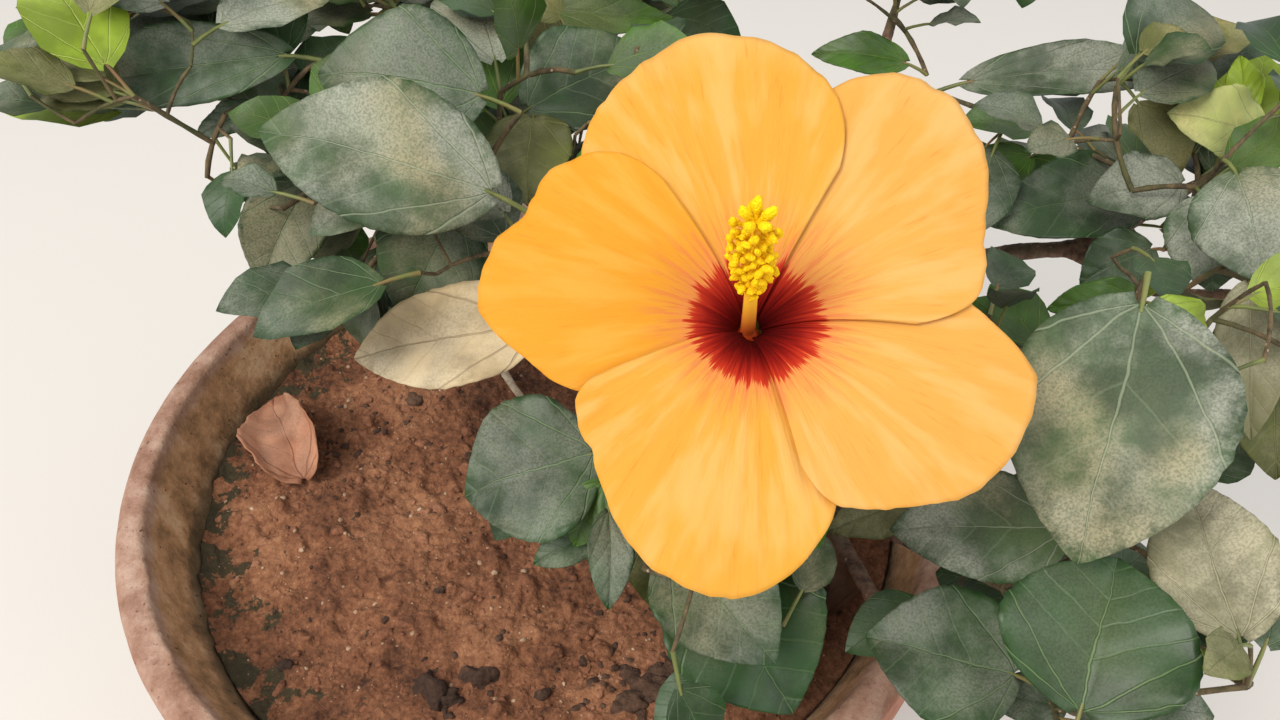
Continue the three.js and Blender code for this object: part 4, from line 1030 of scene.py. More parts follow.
class Leaf:
    def __init__(self, root, foot, tip, width, face, rows=SMALL_ROWS):
        self.root, self.foot, self.tip, self.width, self.rows = root, foot, tip, width, rows
        self.length = np.linalg.norm(tip - foot)
        self.way = (tip - foot) / self.length
        self.side = unit(np.cross(self.way, face))
        self.normal = np.cross(self.side, self.way)
        self.middle = (foot + tip) / 2
        self.stalk = root + (foot - root) * np.array([[0.45], [0.75], [1]])
        shares = np.repeat([0.12, 0.28, 0.44, 0.6, 0.76, 0.9], 5)
        across = np.tile([-1, -0.5, 0, 0.5, 1], 6) * np.interp(shares, rows[:, 0], rows[:, 1]) * width
        self.places = np.vstack([self.stalk, self.on(shares, across), [tip]])

    def rise(self, share, across):
        """How far the blade stands off the flat, by its arch and its fold."""
        return LEAF_ARCH * self.length * np.sin(np.pi * share) + LEAF_FOLD * np.abs(across)

    def on(self, share, across):
        """Points of the blade at shares of its length, so far to one side."""
        out = self.rise(share, across)
        along = self.foot + np.outer(share * self.length, self.way)
        return along + np.outer(across, self.side) + np.outer(out, self.normal)

    def meets(self, places, gap):
        """Whether each place comes within the gap of the blade."""
        away = places - self.foot
        share = away @ self.way / self.length
        across = away @ self.side
        half = np.interp(share, self.rows[:, 0], self.rows[:, 1]) * self.width
        edge = gap / self.length
        near = (share >= -edge) & (share <= 1 + edge) & (np.abs(across) <= half + gap)
        return near & (np.abs(away @ self.normal - self.rise(share, across)) < gap)

    def meets_balls(self, places, radii):
        """Whether the blade comes within a radius of any place."""
        return any(self.meets(places[radii == radius], radius).any() for radius in np.unique(radii))

    def touches(self, other, gap):
        """Whether two leaves come within the gap of each other."""
        if np.linalg.norm(self.middle - other.middle) >= (self.length + other.length) / 2 + gap:
            return False
        return self.meets(other.places, gap).any() or other.meets(self.places, gap).any()

    def hides(self, large):
        """Whether this leaf would hide a large one from the side that the shrub shows."""
        near, far = self.middle - VIEW_SIDE, large.middle - VIEW_SIDE
        if np.linalg.norm(near) > np.linalg.norm(far) + 4:
            return False
        spread = (self.length + self.width + large.length + large.width) / 4
        angle = math.acos(min(1, near @ far / np.linalg.norm(near) / np.linalg.norm(far)))
        return angle < 0.72 * spread / np.linalg.norm(far)


def large_leaves(mass):
    """The large leaves of a mass, each on a short stalk and turned to the side that the shrub shows."""
    made = []
    for foot, tip, width, tone in mass[4]:
        foot, tip = above(foot), above(tip)
        back = unit(foot - tip)
        root = foot + back * min(STALK, np.linalg.norm(foot - tip) / 4) - UP * 5
        made.append(Leaf(root, foot, tip, width, unit(VIEW_SIDE - foot) + UP * 0.5, LARGE_ROWS))
        made[-1].tone = tone
    return made


LARGE = {name: large_leaves(mass) for name, mass in MASSES.items()}
all_large = [leaf for leaves in LARGE.values() for leaf in leaves]

# %% [markdown]
# ## Growing
# A twig leaves the handiest place of the wood that is already there, at a slant or out of a free end,
# and bends up a little towards the light. Leaves then sit along every twig, each turned 137.5 degrees
# from the last one round it, which is how leaves keep out of each other's shade.

# %% Random numbers and twigs
TWIG_TIP = 1.9
TWIG_SHARE = (0.3, 0.64)
SHORTEST_TWIG = 12
START_TRIES = 5
LEAST_SLANT = math.radians(45)
END_TURN = math.radians(70)
BAD_SLANT_COST = 60
STEM = 20
# How far a twig first goes on the way of its wood, from a free end and from a side, and how far it rises,
# in lengths of the twig, and how much thicker it gets with each millimetre of length
ON_FROM_END = 0.18
ON_FROM_SIDE = 0.05
TWIG_RISE = 0.08
TWIG_TAPER = 0.9
THICKER_BY = 0.012
LEAF_TURN = math.radians(137.5)
TRY_TURN = 1.7
# How far a stalk leans out, at a twig's end and along it, and how the blade spreads and hangs
LEAN_AT_END = 0.5
LEAN_ALONG = 1.2
BLADE_SPREAD = 0.4
BLADE_HANG = 0.25
BLADE_LEVEL = 0.6


def seeded(seed):
    """Evenly spread numbers from 0 to 1, the same on every run."""
    state = seed

    def draw():
        nonlocal state
        state = (state * 1664525 + 1013904223) % 2**32
        return state / 2**32

    draw()
    draw()
    return draw


def mix(low, high, share):
    """The value a share of the way from low to high."""
    return low + (high - low) * share


def spans(places, others):
    """The distance from each place to each of the others."""
    return np.linalg.norm(places[:, None] - others[None], axis=2)


def square_to(direction):
    """A direction at right angles to this one."""
    other = UP if abs(direction[2]) < 0.9 else np.array([1.0, 0, 0])
    return unit(np.cross(other, direction))


def angle_between(first, second):
    return math.acos(max(-1, min(1, first @ second / np.linalg.norm(first) / np.linalg.norm(second))))


class Twig:
    """A twig, which knows what it grows out of and how far along it carries anything."""

    def __init__(self, line, radii, parent=None, start=0.0):
        self.line, self.radii, self.length, self.goes_on = line, radii, line.length, False
        self.parent, self.start, self.reach = parent, start, 0.0

    def carry(self, at):
        """Notes that something grows here, so that the wood below it stays."""
        self.reach = max(self.reach, at)
        if self.parent:
            self.parent.carry(self.start)


class Wood:
    """The places on a mass's twigs where another twig can start or a leaf can touch."""

    def __init__(self):
        self.twigs, self.at, self.places, self.ways, self.radii = [], [], [], [], []

    def add(self, twig):
        """Takes a twig in. Gives back the number of its last place."""
        steps = max(1, math.ceil(twig.length / WOOD_STEP))
        for step in range(1, steps + 1):
            part = step / steps
            self.twigs.append(twig)
            self.at.append(part * twig.length)
            self.places.append(twig.line.walk(part))
            self.ways.append(twig.line.facing(part))
            self.radii.append(mix(*twig.radii, part))
        return len(self.at) - 1

    def is_free_end(self, spot):
        return self.at[spot] == self.twigs[spot].length and not self.twigs[spot].goes_on

    def attach(self, spot, way):
        """A free end goes on into what turns off little there."""
        if self.is_free_end(spot) and angle_between(self.ways[spot], way) < END_TURN:
            self.twigs[spot].goes_on = True


def grow_twig(wood, end, clear, must, tip=TWIG_TIP):
    """A twig from the handiest clear place of the wood to an end. Gives back its last place, or None."""

    def cost(spot):
        to = end - wood.places[spot]
        turn_off = angle_between(wood.ways[spot], to)
        slant = 0 if wood.is_free_end(spot) or turn_off > LEAST_SLANT else BAD_SLANT_COST
        return np.linalg.norm(to) * (1 + 0.4 * max(0, -math.cos(turn_off))) + slant

    starts = sorted(range(len(wood.at)), key=cost)[:START_TRIES]
    if np.linalg.norm(wood.places[starts[0]] - end) < SHORTEST_TWIG:
        return starts[0]
    first_try = None
    for spot in starts:
        start = wood.places[spot]
        length = np.linalg.norm(end - start)
        onward = (ON_FROM_END if wood.is_free_end(spot) else ON_FROM_SIDE) * length
        bend = (start + end) / 2 + wood.ways[spot] * onward + UP * TWIG_RISE * length
        radius = max(tip, min(wood.radii[spot] * TWIG_TAPER, tip + THICKER_BY * length))
        twig = Twig(bent_line(start, bend, end), (radius, tip), wood.twigs[spot], wood.at[spot])
        steps = max(1, math.ceil(twig.length / WOOD_STEP))
        places = np.array([twig.line.walk(step / steps) for step in range(1, steps + 1)])
        if clear(places, spot):
            break
        first_try = first_try or (spot, bend, twig)
    else:
        if not must:
            return None
        spot, bend, twig = first_try
    wood.attach(spot, bend - wood.places[spot])
    return wood.add(twig)


def leaf_at(root, onward, phase, length, width, last):
    """A leaf of a twig: its stalk leaves at a slant, and the blade hangs a little and faces the sky."""
    side = square_to(onward)
    out = side * math.cos(phase) + np.cross(onward, side) * math.sin(phase)
    stalk = unit(onward + out * (LEAN_AT_END if last else LEAN_ALONG))
    foot = root + stalk * STALK
    way = stalk + out * BLADE_SPREAD - UP * BLADE_HANG
    way[2] *= BLADE_LEVEL
    return Leaf(root, foot, foot + unit(way) * length, width, np.array([0, -0.25, 1]) + out * 0.25)


# %% [markdown]
# The crown grows in two rounds. The first is the frame's own round, with the same seeds, so twigs and
# leaves stand where the frame's masses have them. The second carries it on to finer twigs and smaller
# leaves, in what is left of the same spaces, with less room between them.

# %% Two rounds of growth
# For each round: how many times the mass's number of twigs it tries, how far out they end, the room they
# keep to the next mass and to limbs, their tip's radius, the leaves' spacing, gap, lengths and tries, and
# what is added to the seeds
ROUNDS = [
    {
        "twigs": 1, "share": TWIG_SHARE, "space": 8, "limb": 3, "tip": TWIG_TIP,
        "spacing": 20, "gap": 3, "sizes": (46, 74), "tries": 9, "twig_seed": 0, "leaf_seed": 7,
    },
    {
        "twigs": 4, "share": (0.35, 0.98), "space": 3, "limb": 2, "tip": 1.2,
        "spacing": 9, "gap": 1.2, "sizes": (28, 58), "tries": 7, "twig_seed": 500, "leaf_seed": 1007,
    },
]
LEAF_WIDTH = (0.66, 0.86)
SMALLER_BY = 0.06
LATER_TURN = 0.9


def twig_ends(name, count, seed, rules):
    """Ends for the twigs of a mass, spread evenly round the middle of its space."""
    centre, reach = SPACES[name]
    random = seeded(seed)
    ends = []
    for i in range(count):
        height = 1 - 2 * (i + 0.5) / count
        flat = math.sqrt(1 - height * height)
        away = np.array([flat * math.cos(i * 2.4 + seed), flat * math.sin(i * 2.4 + seed), height])
        ends.append(centre + away * reach * mix(*rules["share"], random()))
    inside = in_space(np.array(ends), name, rules["space"])
    return [end for end, ok in zip(ends, inside) if ok]


def grow_mass(name):
    """The twigs of a mass and then its leaves, round by round. What would touch something is left out."""
    seed, twigs = MASSES[name][2:4]
    own = LARGE[name]
    leaves = list(own)
    carrier = bough_lines[name]
    way = carrier.toward(1)
    start = carrier.at(1) + way * ONWARD
    tip_radius = BOUGHS[name][0][1]
    wood = Wood()
    wood.add(Twig(bent_line(start, start + way * STEM), (tip_radius, tip_radius * TWIG_TAPER)))

    def from_start(place):
        return np.linalg.norm(place - start)

    def clear_with(gap):
        def clear(places, spot):
            if (spans(limb_places, places) <= limb_radii[:, None] + gap).any():
                return False
            if any(leaf.meets(places, gap).any() for leaf in own):
                return False
            others = np.array([place for i, place in enumerate(wood.places) if i != spot])
            if len(places) < 2 or not len(others):
                return True
            return (spans(others, places[1:]) > gap + 3).all()

        return clear

    def fits(leaf, twig, rules):
        gap = rules["gap"]
        if not in_space(leaf.places, name, 1).all():
            return False
        if any(leaf.hides(large) or leaf.touches(large, gap + 1) for large in all_large):
            return False
        if leaf.meets_balls(limb_places, limb_radii + rules["limb"]):
            return False
        places, radii = np.array(wood.places), np.array(wood.radii) + gap
        away = np.array([other is not twig for other in wood.twigs])
        away |= np.linalg.norm(places - leaf.root, axis=1) >= STALK
        if leaf.meets_balls(places[away], radii[away]):
            return False
        if (spans(places[away], leaf.stalk) <= radii[away][:, None]).any():
            return False
        return not any(leaf.touches(other, gap) for other in leaves)

    for number, rules in enumerate(ROUNDS):
        clear = clear_with(rules["limb"])
        known = set(wood.twigs) if number else set()
        if not number:
            for leaf in sorted(own, key=lambda leaf: from_start(leaf.root)):
                spot = grow_twig(wood, leaf.root, clear, True)
                wood.attach(spot, leaf.foot - leaf.root)
                wood.twigs[spot].carry(wood.at[spot])
        ends = twig_ends(name, twigs * rules["twigs"], seed + rules["twig_seed"], rules)
        for end in sorted(ends, key=from_start):
            grow_twig(wood, end, clear, False, rules["tip"])
        random = seeded(seed * 31 + rules["leaf_seed"])
        for i, twig in enumerate(dict.fromkeys(wood.twigs)):
            count = max(1, math.floor(twig.length / rules["spacing"] + 0.5))
            for k in range(count + 1):
                share = 1 - k / (count + 1) * 0.9
                root, onward = twig.line.walk(share), twig.line.facing(share)
                length = mix(*rules["sizes"], random())
                width = length * mix(*LEAF_WIDTH, random())
                last = share == 1 and not twig.goes_on
                for attempt in range(rules["tries"]):
                    scale = 1 - SMALLER_BY * attempt
                    phase = (i + k) * LEAF_TURN + attempt * TRY_TURN
                    phase += LATER_TURN if twig in known else 0
                    leaf = leaf_at(root, onward, phase, length * scale, width * scale, last)
                    if fits(leaf, twig, rules):
                        leaf.twig = twig
                        leaf.end = last
                        leaves.append(leaf)
                        twig.carry(share * twig.length)
                        if last and angle_between(onward, leaf.foot - root) < END_TURN:
                            twig.goes_on = True
                        break
        print(f"{name}, round {number + 1}: {len(leaves)} leaves")
    return [twig for twig in dict.fromkeys(wood.twigs) if twig.reach], leaves


crown = {name: grow_mass(name) for name in MASSES}
print("grown:", {name: (len(twigs), len(leaves)) for name, (twigs, leaves) in crown.items()})

# %% [markdown]
# ## Twigs and stalks
# Young hibiscus wood is thin, green where it is fresh and brown where it is not. All the twigs are
# tubes along the lines that grew, in one mesh. Each leaf hangs on a stalk of its own, drawn the same
# way but thinner, which bends from the twig up into the foot of the blade.

# %% Twigs
TWIG_SLIM = 0.56
STEM_SLIM = 0.95
KNOT_DEPTH = 0.12
KNOT_PITCH = 2.6
twig_runs = []
for twigs, _ in crown.values():
    for twig in twigs:
        end = min(1, twig.reach / twig.length + 0.02)
        points, sizes = tube_run(twig.line, twig.radii, WOOD_STEP, end)
        slim = TWIG_SLIM
        if twig is twigs[0]:
            points[0] -= twig.line.toward(0) * 3
            slim = np.linspace(STEM_SLIM, TWIG_SLIM, len(points))
        knots = 1 + KNOT_DEPTH * np.sin(np.arange(len(points)) * KNOT_PITCH)
        twig_runs.append((points, sizes * slim * knots))
twig_piece = tubes(twig_runs, 1)
young_bark = bark_finish("young_bark", paint(56, 48, 32), paint(110, 92, 62), paint(74, 84, 42))
keep(twig_piece, "twigs", "bark", [young_bark], *[f"foliage_{name}" for name in MASSES])

# %% Stalks
STALK_SHARES = np.array([0, 0.3, 0.65, 1])
STALK_TAPER = np.array([1.2, 1, 0.9, 0.7])
STALK_TONES = [(0.35, paint(84, 92, 44)), (0.5, paint(116, 122, 62)), (0.65, paint(132, 98, 62))]
stalk_runs = []
for _, leaves in crown.values():
    for leaf in leaves:
        bend = leaf.root + (leaf.foot - leaf.root) * 0.55 + UP * 1.2
        line = bent_line(leaf.root, bend, leaf.foot + leaf.way * 2 + leaf.normal * leaf.rise(0.02, 0))
        thick = 0.6 + 0.004 * leaf.length
        stalk_runs.append((line.rule(STALK_SHARES), thick * STALK_TAPER))


def stalk_finish():
    stalk = Finish("stalk_green", 0.5)
    tint = stalk.noise(stalk.place(), 50, 3)
    stalk.set("Base Color", stalk.line(tint, *STALK_TONES))
    return stalk.material


keep(tubes(stalk_runs, 1), "leaf_stalks", "bark", [stalk_finish()])

# %% [markdown]
# ## Blades
# A blade is modelled once, flat and one unit long, from a grid whose rows are drawn in to the outline
# of the leaf, with blunt teeth on its upper half. Laid over a leaf's form it gets that leaf's arch,
# fold and wavy edge. The large leaves in front get a pattern with more faces, on which the veins sink
# in and the blade swells between them. The hundreds of others have a few dozen faces each.

# %% Pattern of a blade
# Half the blade's width at shares of its length
OUTLINE = np.array([
    [0, 0.05], [0.03, 0.19], [0.08, 0.3], [0.16, 0.41], [0.26, 0.475], [0.38, 0.5], [0.5, 0.49],
    [0.62, 0.44], [0.72, 0.37], [0.81, 0.285], [0.88, 0.2], [0.94, 0.115], [0.98, 0.05], [1, 0.006],
])
BLADE_WIDTH = 0.78
SIDE_VEIN = 0.62
LOW_VEIN = 1.3
# The pairs of ribs that spread from the foot, as (slope, how much of the way off counts)
RIBS = [(SIDE_VEIN, 0.8), (LOW_VEIN, 0.6)]
VEIN_BEND = 0.8
VEIN_SPACING = 0.2
VEIN_SLANT = 0.9
ROW_CROWDING = 0.55
HEART = 0.05
VEIN_WIDTH = 0.02


def vein_distance(x, y):
    """How far a point is from the nearest vein, in lengths of the blade. x counts from the midrib."""
    bent = np.maximum(y, 0.001) ** VEIN_BEND
    nearest = x
    for slope, width in RIBS:
        nearest = np.minimum(nearest, width * np.abs(x - slope * bent))
    along_rib = (y - VEIN_SLANT * x) / VEIN_SPACING
    small = 0.65 * VEIN_SPACING * np.abs(along_rib - np.floor(along_rib) - 0.5)
    branching = (along_rib > 1.2) & (x < SIDE_VEIN * bent)
    return np.where(branching, np.minimum(nearest, small), nearest)


def blade_pattern(columns, rows, tooth):
    """Points (share of the width, share of the length, swell), faces and UV places of a flat blade."""
    bpy.ops.object.select_all(action="DESELECT")
    bpy.ops.mesh.primitive_grid_add(x_subdivisions=columns, y_subdivisions=rows, size=1)
    blade = bpy.context.object
    for vertex in blade.data.vertices:
        across, even = vertex.co.x * 2, vertex.co.y + 0.5
        share = even - ROW_CROWDING * math.sin(2 * math.pi * even) / (2 * math.pi)
        half = np.interp(share, OUTLINE[:, 0], OUTLINE[:, 1])
        row = round(even * rows)
        if abs(across) > 0.99 and 0.25 < share < 0.97:
            half *= 1 + tooth * (1 if row % 2 else -0.6)
        vertex.co = (across * half, share - HEART * abs(across) ** 2 * math.exp(-share * 9), 0)
    points, faces, _ = read_off(blade)
    distance = vein_distance(np.abs(points[:, 0]) * BLADE_WIDTH, points[:, 1])
    points[:, 2] = 1 - np.exp(-distance / VEIN_WIDTH)
    corners = points[faces.ravel()]
    places = np.column_stack([0.5 + corners[:, 0] * BLADE_WIDTH, corners[:, 1]])
    return points, faces, places


def drape(
    pattern, leaf, wave, waves=2.5, arch=LEAF_ARCH, fold=LEAF_FOLD,
    phase=0.0, curl=0.0, lean=0.0, swell=0.0,
):
    """The pattern laid over a leaf: arched, folded, waved at its edge, curled at the tip and swollen."""
    x, y = pattern[:, 0], pattern[:, 1]
    across, edge = x * leaf.width, np.abs(x) * 2
    rise = arch * leaf.length * np.sin(np.pi * y) + fold * np.abs(across)
    ripple = np.sin(2 * np.pi * waves * y + phase + np.sign(x) * 0.8)
    rise += wave * edge**2 * ripple * np.minimum(1, y * 5)
    rise += swell * pattern[:, 2] - curl * leaf.length * np.maximum(0, y - 0.55) ** 2
    across = across + lean * leaf.length * np.sin(np.pi * y)
    along = leaf.foot + np.outer(y * leaf.length, leaf.way)
    return along + np.outer(across, leaf.side) + np.outer(rise, leaf.normal)


fine_blade = blade_pattern(22, 34, 0.012)
plain_blade = blade_pattern(6, 9, 0.015)
print("a blade has", len(fine_blade[1]), "faces in front and", len(plain_blade[1]), "elsewhere")

# %% [markdown]
# Tones go by spray, as on the shrub: all the leaves of a twig are deep green, washed clean, dusty with a
# painted sheen, olive or fresh green, and only the last one may be young and yellow-green. Each copy
# notes its tone as the number of its finish.

# %% Lay the blades
random_leaves = np.random.default_rng(21)
SPRAY_TONES = ["deep", "clean", "dusty", "olive", "fresh"]
SPRAY_SHARES = [0.34, 0.2, 0.2, 0.12, 0.14]
YOUNG_SHARE = 0.35
VEIN_SWELL = 0.6
BLADE_THICKNESS = 0.5
fine_points, fine_tones, plain_points, plain_tones = [], [], [], []
for name, (twigs, leaves) in crown.items():
    sprays = dict(zip(twigs, random_leaves.choice(SPRAY_TONES, len(twigs), p=SPRAY_SHARES)))
    for leaf in leaves:
        looks = random_leaves.uniform(0, 1, 5)
        shape = {"phase": looks[0] * 6.3, "curl": looks[1] * 0.25, "lean": (looks[2] - 0.5) * 0.05}
        if leaf in LARGE[name]:
            shape.update(curl=looks[1] * 0.25 * 0.6, swell=VEIN_SWELL)
            shape.update(fold=LEAF_FOLD * (0.8 + 0.6 * looks[4]))
            fine_points.append(drape(fine_blade[0], leaf, 1.6 + 1.6 * looks[3], 1.6, **shape))
            fine_tones.append(TONES.index(leaf.tone))
            continue
        shape.update(fold=LEAF_FOLD * (0.6 + looks[3]), arch=LEAF_ARCH * (0.5 + looks[4]))
        plain_points.append(drape(plain_blade[0], leaf, 1.4, 2, **shape))
        tone = "young" if leaf.end and looks[3] < YOUNG_SHARE else sprays[leaf.twig]
        plain_tones.append(TONES.index(tone))
fine_leaves = write_copies(np.array(fine_points), *fine_blade[1:], fine_tones)
shape_with(fine_leaves, "SOLIDIFY", thickness=BLADE_THICKNESS * MM, offset=-1)
plain_leaves = write_copies(np.array(plain_points), *plain_blade[1:], plain_tones)
print("leaves:", len(fine_tones), "large and", len(plain_tones), "others")

# %% [markdown]
# A leaf's finish follows its own UV map, in which one unit is the length of the blade, so the veins run
# true on every copy: a midrib, two pairs of ribs that spread from the foot, and slanting side veins.
# Over that lies what the weather leaves, a fine grey dust with water marks, which is matte where the
# clean leaf is glossy. The same pale film also stands in for the leaf's sheen, as a painted sheen. It
# gathers in an oval round the middle of the blade and leaves the margin clean, and the veins still show
# through it.

# %% Finish of the leaves
# The oval of dust and painted sheen, in lengths of the blade: half its width, where its middle is, and
# half its length
DUST_SHEEN_WIDTH = 0.39
DUST_SHEEN_MIDDLE = 0.44
DUST_SHEEN_LENGTH = 0.54
TAN_TINT = (1.12, 0.96, 0.72)


def leaf_finish(name, base, vein, dust, dust_and_sheen_share, gloss):
    leaf = Finish(name, 0.5, Specular_IOR_Level=0.3)
    place = leaf.place()
    straight = leaf.place("UV")
    wander = leaf.add("ShaderNodeTexNoise", {"Vector": straight, "Scale": 5.0, "Detail": 2.0}, 1)
    wander = leaf.add("ShaderNodeVectorMath", {0: wander, 1: (0.5, 0.5, 0.5)}, operation="SUBTRACT")
    wander = leaf.add("ShaderNodeVectorMath", {0: wander, "Scale": 0.05}, operation="SCALE")
    uv = leaf.add("ShaderNodeVectorMath", {0: straight, 1: wander}, operation="ADD")
    x = leaf.maths("ABSOLUTE", leaf.minus(leaf.axis(uv, 0), 0.5))
    y = leaf.maths("MAXIMUM", leaf.axis(uv, 1), 0.001)
    bent = leaf.maths("POWER", y, VEIN_BEND)
    ribs = x
    for slope, width in RIBS:
        off = leaf.maths("ABSOLUTE", leaf.minus(x, leaf.times(bent, slope)))
        ribs = leaf.maths("MINIMUM", ribs, leaf.times(off, width))
    slanted = leaf.maths("DIVIDE", leaf.scaled(x, -VEIN_SLANT, y), VEIN_SPACING)
    part = leaf.maths("ABSOLUTE", leaf.minus(leaf.maths("FRACT", slanted), 0.5))
    small = leaf.rise(leaf.times(part, VEIN_SPACING), 0.012, 0.002)
    small = leaf.times(small, leaf.rise(slanted, 1.1, 1.5))
    thick = leaf.scaled(y, -0.006, 0.01)
    big = leaf.minus(1.0, leaf.rise(leaf.maths("DIVIDE", ribs, thick), 0.25, 1.0))
    veins = leaf.maths("MAXIMUM", big, leaf.times(small, 0.3))
    blotches = leaf.noise(place, 30, 4)
    film = leaf.noise(place, 150, 6, 0.75)
    grains = leaf.noise(place, 1300, 2, 0.6)
    darker = [share * 0.5 for share in base[:3]] + [1]
    colour = leaf.mix(leaf.rise(blotches, 0.38, 0.62), darker, base)
    wide = leaf.maths("POWER", leaf.maths("DIVIDE", x, DUST_SHEEN_WIDTH), 2.0)
    long = leaf.maths("POWER", leaf.maths("DIVIDE", leaf.minus(y, DUST_SHEEN_MIDDLE), DUST_SHEEN_LENGTH), 2.0)
    outward = leaf.plus(leaf.plus(wide, long), leaf.scaled(film, 1.3, -0.65))
    middle = leaf.rise(outward, 1.15, 0.6)
    patchy = leaf.scaled(leaf.rise(leaf.noise(place, 26, 4), 0.38, 0.61), 0.86, 0.14)
    grainy = leaf.scaled(leaf.rise(grains, 0.3, 0.66), 0.5, 0.5)
    # The cover is dust and also a painted sheen: the pale film stands in for the leaf's gloss as well.
    cover = leaf.times(leaf.times(middle, patchy), leaf.times(grainy, dust_and_sheen_share))
    tan = [share * tint for share, tint in zip(dust, TAN_TINT)] + [1]
    dusty = leaf.mix(leaf.rise(leaf.noise(place, 12, 2), 0.46, 0.6), dust, tan)
    colour = leaf.mix(cover, colour, dusty)
    leaf.set("Base Color", leaf.mix(leaf.times(veins, 0.5), colour, vein))
    leaf.set("Roughness", leaf.scaled(cover, 0.4, gloss))
    leaf.set("Normal", leaf.bump(film, 0.15, leaf.bump(leaf.minus(1.0, veins), 0.35)))
    return leaf.material


# Grey dust, which also stands in for the glossy leaves' sheen: dust and painted sheen in one colour
DUST_AND_SHEEN = paint(160, 162, 146)
leaf_finishes = [
    leaf_finish("deep_leaf", paint(42, 72, 32), paint(122, 144, 102), DUST_AND_SHEEN, 0.52, 0.4),
    leaf_finish("clean_leaf", paint(42, 74, 32), paint(116, 140, 92), DUST_AND_SHEEN, 0.16, 0.36),
    leaf_finish("dust_and_sheen_leaf", paint(56, 82, 42), paint(150, 160, 130), DUST_AND_SHEEN, 0.95, 0.48),
    leaf_finish("olive_leaf", paint(92, 98, 42), paint(150, 150, 94), paint(164, 158, 118), 0.6, 0.46),
    leaf_finish("fresh_leaf", paint(66, 104, 24), paint(136, 160, 74), DUST_AND_SHEEN, 0.25, 0.4),
    leaf_finish("young_leaf", paint(146, 172, 44), paint(192, 206, 104), paint(196, 200, 120), 0.2, 0.4),
    leaf_finish("pale_leaf", paint(120, 118, 80), paint(178, 172, 136), paint(190, 182, 154), 1.0, 0.5),
    leaf_finish("light_leaf", paint(178, 188, 110), paint(208, 212, 150), paint(214, 214, 168), 0.7, 0.5),
    leaf_finish("dead_leaf", paint(208, 184, 142), paint(166, 142, 106), paint(230, 216, 186), 0.6, 0.6),
]
masses = [f"foliage_{name}" for name in MASSES]
keep(fine_leaves, "large_leaves", "leaf", leaf_finishes, *masses)
keep(plain_leaves, "small_leaves", "leaf", leaf_finishes, *masses)

# %% [markdown]
# ## Fallen things
# A curled dry leaf lies against the wall, another bit has dried up under the bloom, and a broken stick
# lies on the soil. The leaves are the same blade, rolled up round its midrib before it is draped,
# because that is how a leaf dries.

# %% Dry leaves and a stick
CRUMPLE_SIZE = 14
CRUMPLE_DEPTH = 3.4
WRINKLE_SIZE = 5
WRINKLE_DEPTH = 0.9
# Without a number to start from, the noise that crumples them would start from the clock
CRUMPLE_SEED = 1795683770


def lying(foot, tip, width, lift, lean_over):
    """A leaf's form that lies on the soil, leant over to one side."""
    ends = [np.array([x, y, SOIL_HEIGHT + height]) for (x, y), height in zip((foot, tip), lift)]
    return Leaf(ends[0], *ends, width, unit(UP + np.array([lean_over[0], lean_over[1], 0])))


def rolled(leaf, roll, **looks):
    """The fine blade over a leaf, with its halves rolled up to a radius and crumpled."""
    shape = fine_blade[0].copy()
    turn_by = shape[:, 0] * leaf.width / roll
    shape[:, 0] = np.sin(turn_by) * roll / leaf.width
    points = drape(shape, leaf, **looks)
    points += np.outer((1 - np.cos(turn_by)) * roll, leaf.normal)
    crumples = [noise.noise_vector(Vector(point) / CRUMPLE_SIZE) for point in points]
    wrinkles = [noise.noise_vector(Vector(point) / WRINKLE_SIZE) for point in points]
    return points + CRUMPLE_DEPTH * np.array(crumples) + WRINKLE_DEPTH * np.array(wrinkles)


noise.seed_set(CRUMPLE_SEED)
dry = [
    rolled(lying((-108, -4), (-134, 40), 40, (5, 12), (-0.3, 0.1)), 15, wave=3, swell=0.8),
    rolled(lying((112, -70), (118, -38), 26, (4, 11), (0.6, 0)), 7, wave=2, swell=0.8),
]
fallen = write_copies(np.array(dry), *fine_blade[1:], [0, 1])
shape_with(fallen, "SOLIDIFY", thickness=BLADE_THICKNESS * MM, offset=0)
pink_dust, brown_dust = paint(212, 168, 140), paint(150, 112, 84)
dry_pink = leaf_finish("dry_leaf", paint(176, 118, 88), paint(128, 80, 58), pink_dust, 0.5, 0.6)
dry_brown = leaf_finish("withered_leaf", paint(112, 72, 46), paint(74, 46, 30), brown_dust, 0.3, 0.6)
keep(fallen, "fallen_leaves", "leaf", [dry_pink, dry_brown])

STICK_HEIGHT = SOIL_HEIGHT + 4.0
stick_line = bent_line(*[np.array([x, y, STICK_HEIGHT]) for x, y in ((-27, 66), (-22, 56), (-14, 44))])
stick = tubes([tube_run(stick_line, (2.1, 1.6), 1.5)], 3)
roughen(stick, 0.8, 2)
bare_wood = bark_finish("bare_wood", paint(150, 128, 104), paint(206, 190, 166), paint(170, 150, 120))
keep(stick, "stick", "bark", [bare_wood])

# %% [markdown]
# ## The bloom
# Five petals leave the funnel of the throat and spread to a wide, nearly flat face. Each one's leading
# edge lies on top of the next. A petal is a grid again: its columns run out along the angles between
# its two edges and its rows run from root to rim, so its outline, funnel, droop and ruffles are all
# heights over one polar map. The same map is kept as UV, angle and radius, and the colours follow that.

# %% Petals
PETAL_ROOT = 3.4
PETAL_THICKNESS = 0.5
PETAL_TILT = 1.1
PETAL_DROOP = 4
PETAL_COLUMNS = 72
SCALLOP = 2.2
PETAL_ROWS = 44
ROWS_CLOSER = 1.15
RUFFLE = 1.6
FRILL = 0.55
VEIN_RISE = 0.22
POLAR = (360, 100)
